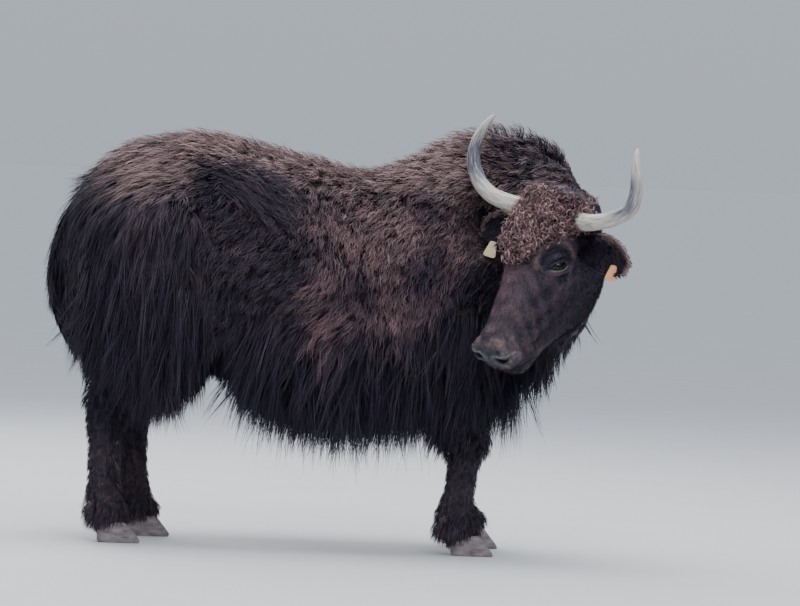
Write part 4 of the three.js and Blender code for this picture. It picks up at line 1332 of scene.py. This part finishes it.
def clear_of_ears(path):
    """Which tufts pass no ear closely"""
    free = np.ones(len(path), bool)
    near = np.linalg.norm(path[:, 0] - POLL, axis=1) < EAR_REACH
    for i in np.flatnonzero(near):
        free[i] = all(EAR_TREE.find_nearest(point, EAR_CLEARANCE)[0] is None for point in path[i].tolist())
    return free


# Hair, in pieces small enough to share, kept inside the solids' box but for a little
HAIR_MARGIN = np.array([[-14, -14, 2], [14, 14, 14]])
HAIR_BOX = np.array([list(v) for v in CAD_BOX]) / MM - TO_FLOOR_CENTRE + HAIR_MARGIN
UNDER_OTHER_PART = 0.97


def half_widths(width, count):
    return width / 2 * RNG.uniform(0.7, 1.3, count)


def grow(name, made, names, keep, count, hairs, levels, radius, width, stray=0.06, clump=0.75, change=None):
    """Tufts over a skin, kept where keep says, as meshes of no more than the limit of triangles"""
    points, normals = scatter(made, count)
    part, along, angle, _ = place_on_body(points, names)
    place = unwrap(part, along, angle)
    *_, covered = place_on_body(points, BODY_NAMES if names is HEAD_NAMES else HEAD_NAMES)
    kept = keep(np.array(PART_NAMES)[part], points, normals) & (covered > UNDER_OTHER_PART)
    points, normals, part, place = (v[kept] for v in (points, normals, part, place))
    coat = coat_at(points, normals, part)
    if change is not None:
        change(coat, len(points))
    path = comb(points, normals, coat, levels)
    if names is BODY_NAMES:
        free = clear_of_ears(path)
        normals, place, path = (v[free] for v in (normals, place, path))
        coat = {key: value[free] for key, value in coat.items()}
    tuft = {**coat, "hairs": hairs, "radius": radius, "clump": clump, "stray": stray}
    lines, wide = strands(path, normals, tuft)
    lines = np.clip(lines, *HAIR_BOX)
    half = half_widths(width, len(lines))
    place = np.repeat(place, hairs, axis=0)
    shares = {key: np.repeat(coat[key], hairs) for key in ("warm", "pale")}
    shade = np.repeat(RNG.normal(0.5, 0.16, len(path)), hairs) + RNG.normal(0, 0.12, len(lines))
    shares["shade"] = np.clip(shade, 0, 1)
    batch = COAT_LIMIT // (2 * levels - 1)
    pieces = []
    for i, start in enumerate(range(0, len(lines), batch)):
        some = slice(start, start + batch)
        some_shares = {key: value[some] for key, value in shares.items()}
        pieces.append(coat_mesh(f"{name}_{i}", lines[some], wide[some], half[some], some_shares, place[some]))
    return pieces


# Where each kind of hair grows, by the roots' parts, places and directions out of the skin
KNEE_HAIR = 320
HOCK_HAIR = 460
FLANK_HAIR = 700
THROAT_HAIR = 740
CHEST_HAIR = 930
THIGH_HAIR = 1090
RUMP_START = -400
CHEST_START = 620
HIP = {"back": -350, "front": -130, "inner": 60, "half": 48}


def is_low(names, points, _normals):
    """The legs' short hair, below the knee and the hock"""
    fore = np.char.startswith(names, "foreleg") & (points[:, 2] < KNEE_HAIR)
    return fore | (np.char.startswith(names, "hindleg") & (points[:, 2] < HOCK_HAIR))


def is_long(names, points, normals):
    """Rump, thighs, skirt, chest and tail"""
    x, _, z = points.T
    edge = THIGH_HAIR + 30 * np.sin(x / 37) * np.sin(x / 91)
    rump = (x < RUMP_START) & (z < edge)
    legs = (np.char.find(names, "leg") >= 0) & (z < edge)
    chest = (x > CHEST_START) & (z < np.where(names == "neck", THROAT_HAIR, CHEST_HAIR))
    long = rump | (z < FLANK_HAIR) | legs | chest | (names == "tail")
    return long & ~is_low(names, points, normals)


def is_wool(names, points, normals):
    return ~is_long(names, points, normals) & ~is_low(names, points, normals)


def on_hip(_names, points, _normals):
    """A band that falls forward from the point of the hip"""
    x, y, z = points.T
    line = 1235 - (x + 285) * 0.42
    beside = (x > HIP["back"]) & (x < HIP["front"]) & (np.abs(y) > HIP["inner"])
    return beside & (np.abs(z - line + 42) < HIP["half"])


def on_face(_names, points, normals):
    return ~forehead(points, normals) & (bare_skin(points) < 0.4)


def anywhere(_names, points, _normals):
    return np.ones(len(points), bool)


def ringlets(name, count, hairs, levels, width):
    """The forehead's curls: flat hairs wound round short lines that lean every way off the skin"""
    points, normals = scatter(head_skin, count)
    kept = forehead(points, normals)
    points, normals = points[kept], normals[kept]
    part, along, angle, _ = place_on_body(points, HEAD_NAMES)
    count = len(points)
    s, l, _ = in_head(points).T
    sides = ramp(55, 115, np.abs(l))
    # Clumps of taller curls, painted lighter on top and darker in the gaps between them as painted highlight
    # and shade
    clump_height_and_shade = np.sin(s / 7.5 + 1.6 * np.sin(l / 13)) * np.sin(l / 8.5 + 1.6 * np.sin(s / 12))
    tall = (RNG.uniform(15, 26, count) + 7 * clump_height_and_shade + 26 * sides)[:, None]
    axis = unit(normals + RNG.normal(0, 0.55, (count, 3)) + HEAD_AXES[0] * 0.4)
    first = unit(np.cross(axis, RNG.normal(0, 1, (count, 3))))
    second = np.cross(axis, first)
    t = np.linspace(0, 1, levels + 1)
    turns = RNG.uniform(1.0, 2.0, (count, 1)) * RNG.choice([-1, 1], (count, 1))
    radius = RNG.uniform(6, 13, (count, 1)) * np.sin(math.pi * (0.12 + 0.75 * t)) ** 0.7
    lines, wide = [], []
    for _ in range(hairs):
        turn = 2 * math.pi * turns * t + RNG.normal(0, 0.16, (count, 1))
        size = radius * RNG.uniform(0.82, 1.18, (count, 1))
        line = points[:, None] + axis[:, None] * (tall * (0.15 + 0.85 * t))[..., None]
        line = line + first[:, None] * (size * np.cos(turn))[..., None]
        line = line + second[:, None] * (size * np.sin(turn))[..., None]
        lines.append(line + RNG.normal(0, 1.0, (count, 1, 3)))
        wide.append(unit(axis + RNG.normal(0, 0.35, (count, 3))))
    lines, wide = np.concatenate(lines), np.concatenate(wide)
    # Painted highlight and shade: the taller clumps get paler tips and a brighter shade share, the gaps
    # darker ones
    shares = {
        "warm": np.tile(np.clip(RNG.normal(0.97, 0.08, count), 0, 1), hairs),
        "pale": np.tile(np.clip(RNG.normal(0.46, 0.3, count) + 0.2 * clump_height_and_shade, 0, 1), hairs),
        "shade": np.clip(np.tile(RNG.normal(0.66, 0.3, count) + 0.3 * clump_height_and_shade, hairs), 0, 1),
    }
    place = np.tile(unwrap(part, along, angle), (hairs, 1))
    half = half_widths(width, len(lines))
    return [coat_mesh(name, lines, wide, half, shares, place, taper=0.35)]


COATS = [
    *grow("wool", body_skin, BODY_NAMES, is_wool,
          count=30000, hairs=7, levels=4, radius=13, width=3.1, clump=0.3),
    *grow("long_hair", body_skin, BODY_NAMES, is_long,
          count=15500, hairs=6, levels=6, radius=11.5, width=3.5, stray=0.035),
    *grow("hip_hair", body_skin, BODY_NAMES, on_hip,
          count=24000, hairs=6, levels=8, radius=11, width=3.0, stray=0.04, clump=0.7, change=hip_crest),
    *grow("leg_hair", body_skin, BODY_NAMES, is_low,
          count=44000, hairs=6, levels=3, radius=8, width=2.2, clump=0.2),
    *grow("face_hair", head_skin, HEAD_NAMES, on_face,
          count=20500, hairs=3, levels=2, radius=5, width=1.5, clump=0.1),
]
for name in SIDES:
    COATS += grow(f"ear_hair_{name}", EARS[name], EAR_NAMES, anywhere,
                  count=700, hairs=4, levels=3, radius=4, width=1.8, clump=0.4)
COATS += ringlets("curls", count=12000, hairs=4, levels=11, width=2.3)


# Horns, eyes, hooves and tags
HORN_ROUTE = [
    (38, 100, -40, 28), (40, 150, -28, 28), (42, 190, -8, 27), (36, 235, 6, 26), (12, 290, 6, 25),
    (-16, 326, 8, 24.5), (-45, 345, 20, 23.5), (-82, 350, 38, 21), (-118, 343, 54, 18.5),
    (-155, 330, 64, 14.5), (-188, 317, 66, 9.5), (-206, 309, 64, 5),
]


HORN_GRID = {"around": 40, "steps": 160}


def horn(name, side):
    stations = [station(on_head(s, side * l, u), r, r * 0.92, r * 0.92) for s, l, u, r in HORN_ROUTE]
    made = mesh_object(f"horn_{name}_fine", *Loft(stations, HEAD_AXES[2]).grid(**HORN_GRID))
    around, steps = HORN_GRID.values()
    along = np.append(np.repeat(np.arange(steps + 1) / steps, around), [0, 1])
    turn = np.append(np.tile(np.arange(around) / around * 2 * math.pi, steps + 1), [0, 0])
    grain = np.stack([np.cos(turn), np.sin(turn), along * 2.2 + 3 * side], 1)
    add_numbers(made.data, "grain", "FLOAT_VECTOR", "vector", grain)
    outside = 0.5 + 0.5 * np.cos(turn - (0.2 if side > 0 else math.pi - 0.2))
    grey = bump(0.52, 0.26, along) * (0.45 + 0.75 * outside) + 0.6 * bump(0.6, 0.4, along) * outside
    grey += 0.4 * ramp(0.12, 0.0, along) + 0.25 * outside * ramp(0.1, 0.3, along)
    add_numbers(made.data, "grey", "FLOAT", "value", np.clip(grey, 0, 1))
    return stands_for(made, f"horn_{name}")


PUPIL = {"long": 12.5, "high": 7, "share": 0.36}


def eye(name, side):
    """A ball marked by how far from its middle line each point lies, as a share of the iris: 0 to 1"""
    radius = EYE["radius"]
    made = mesh_object(f"eye_{name}_fine", *ball(eye_centre(side), [radius] * 3, HEAD_AXES, 48))
    ahead, up, out = in_eye(points_of(made)).T
    pupil = np.sqrt((ahead / PUPIL["long"]) ** 2 + (up / PUPIL["high"]) ** 2) * PUPIL["share"]
    iris = np.where(out > 0, np.maximum(pupil, np.sqrt(ahead**2 + up**2) / radius), 1)
    iris = np.where((pupil < PUPIL["share"]) & (out > 0), pupil, iris)
    add_numbers(made.data, "iris", "FLOAT", "value", iris)
    return stands_for(made, f"eye_{name}")


CLAW = {"toe": 80, "heel": 54, "width": 47, "height": 66, "apart": 24.5}


def claw(name, hoof_x, y):
    def level(z, toe, heel, across):
        return station([hoof_x, y, z], across / 2, toe, heel, 2, 2.6)

    toe, heel, width, height = (CLAW[key] for key in ("toe", "heel", "width", "height"))
    stations = [
        level(0, toe, heel - 6, width - 2),
        level(8, toe, heel, width),
        level(height * 0.55, toe * 0.72, heel, width - 1),
        level(height, toe * 0.42, heel - 8, width - 6),
    ]
    made = mesh_object(f"{name}_fine", *Loft(stations, FORWARD).grid(48, 24))
    return stands_for(made, name)


def horn_material():
    """Ivory with fibres along the horn, grey on its outer middle and where it is rough"""
    shading = surface("horn", 0.42)
    grain = shading.attribute("grain")["Vector"]
    fibres = shading.add("TexNoise", Scale=5.0, Detail=6, Roughness=0.65, Vector=grain).outputs["Fac"]
    ivory = shading.colours(
        fibres,
        (0.30, (0.14, 0.13, 0.13)),
        (0.42, (0.38, 0.35, 0.31)),
        (0.60, (0.62, 0.58, 0.50)),
        (1.00, (0.74, 0.71, 0.64)),
    )
    slate = shading.colours(
        fibres, (0.34, (0.035, 0.035, 0.042)), (0.55, (0.16, 0.16, 0.19)), (0.80, (0.5, 0.5, 0.52))
    )
    colour = shading.mix(shading.attribute("grey")["Fac"], ivory, slate)
    shading.feed(shading.main, {"Base Color": colour})
    shading.relief(fibres, 0.0012, 0.8)
    return shading.owner


def eye_material():
    """A dark brown iris round a pupil that lies level, with a bluish rim"""
    shading = surface("eye", 0.06, 0.28)
    ring = shading.colours(
        shading.attribute("iris")["Fac"],
        (0.00, (0.001, 0.001, 0.002)),
        (0.34, (0.002, 0.001, 0.002)),
        (0.42, (0.014, 0.008, 0.006)),
        (0.66, (0.009, 0.006, 0.006)),
        (0.74, (0.006, 0.006, 0.009)),
        (1.00, (0.10, 0.09, 0.10)),
    )
    shading.feed(shading.main, {"Base Color": ring})
    return shading.owner


def hoof_material():
    """Grey brown growth bands with a fine grain down the claw"""
    shading = surface("hoof", 0.6)
    bands = shading.noise(30, 4, (1, 1, 3))
    colour = shading.colours(bands, (0.3, (0.10, 0.085, 0.09)), (0.7, (0.26, 0.215, 0.22)))
    shading.feed(shading.main, {"Base Color": colour})
    shading.relief(shading.noise(60, 3, (0.3, 0.3, 4)), 0.001)
    return shading.owner


def tag_material(name, colour):
    """Plastic, a little faded in places"""
    shading = surface(name, 0.4)
    worn = tuple(0.75 * c for c in colour)
    faded = shading.colours(shading.noise(40), (0.3, worn), (0.6, colour))
    shading.feed(shading.main, {"Base Color": faded})
    return shading.owner


def refinish(node, material):
    """A solid that stays gets a finer material"""
    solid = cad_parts[node]
    solid.data.materials.clear()
    solid.data.materials.append(material)


HORN = horn_material()
EYES = eye_material()
HOOF = hoof_material()
TAG_COLOURS = {"left": (0.80, 0.40, 0.20), "right": (0.84, 0.70, 0.42)}

for name, side in SIDES.items():
    horn(name, side).data.materials.append(HORN)
    eye(name, side).data.materials.append(EYES)
    refinish(f"tag_{name}", tag_material(f"tag_{name}", TAG_COLOURS[name]))
    stands_for(EARS[name], f"ear_{name}")

for leg, place in LEGS.items():
    for which, across in (("inner", -1), ("outer", 1)):
        y = place["y"] + np.sign(place["y"]) * across * CLAW["apart"]
        claw(f"hoof_{leg}_{which}", place["hoof_x"], y).data.materials.append(HOOF)
        refinish(f"dewclaw_{leg}_{which}", HOOF)

BODY_NODES = ["torso", "neck", "tail", *(f"{leg}_{part}" for leg in LEGS for part in ("upper", "lower"))]

stands_for(body_skin, *BODY_NODES)
stands_for(head_skin, "head")
for made in (*LIDS.values(), *COATS):
    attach(made, "root")


# Floor, light and camera
def turn_towards(place, aim):
    return (Vector(aim) - Vector(place)).to_track_quat("-Z", "Y")


# Each row: the place, the height aimed at, the size and the power
LIGHTS = {
    "top": ((0.0, 0.5, 6.0), 0.9, (6, 4), 330),
    "key": ((1.5, -6.0, 5.5), 0.8, (5, 3), 260),
    "back": ((-2.5, 5.0, 4.5), 0.9, (4, 3), 220),
}


def soft_light(name, place, aim_height, size, power):
    data = bpy.data.lights.new(name, "AREA")
    data.shape = "RECTANGLE"
    data.size, data.size_y = size
    data.energy = power
    made = shown(name, data)
    made.location = place
    made.rotation_euler = turn_towards(place, (0, 0, aim_height)).to_euler()


FLOOR_SIZE = 400


def set_floor():
    bpy.ops.mesh.primitive_plane_add(size=FLOOR_SIZE)
    floor = bpy.context.object
    floor.name = "floor"
    shading = surface("floor", 0.8)
    shade = shading.colours(shading.noise(3), (0.2, 0.60), (0.8, 0.64))
    shading.feed(shading.main, {"Base Color": shade})
    floor.data.materials.append(shading.owner)


def set_world():
    """A soft dome, brightest overhead"""
    world = bpy.data.worlds.new("studio")
    shading = Shading(world, "Background")
    where = shading.add("TexCoord").outputs["Generated"]
    height = shading.add("SeparateXYZ", Vector=where).outputs["Z"]
    sky = shading.colours(height, (0.0, (0.481, 0.528, 0.593)), (0.9, (0.86, 0.95, 1.1)))
    shading.feed(shading.main, {"Color": sky})
    bpy.context.scene.world = world


CAMERA_AT = (0.2155, -15.84, 1.3)
CAMERA_AIM = (0.2155, 0.160, 0.80)
CAMERA_LENS = 221.5
CAMERA_ROLL = math.radians(2.2)


def set_camera():
    data = bpy.data.cameras.new("camera")
    data.lens = CAMERA_LENS
    made = shown("camera", data)
    turn = turn_towards(CAMERA_AT, CAMERA_AIM).to_matrix().to_4x4()
    made.matrix_world = Matrix.Translation(CAMERA_AT) @ turn @ Matrix.Rotation(CAMERA_ROLL, 4, "Z")
    bpy.context.scene.camera = made


set_floor()
set_world()
for name, light in LIGHTS.items():
    soft_light(name, *light)
set_camera()
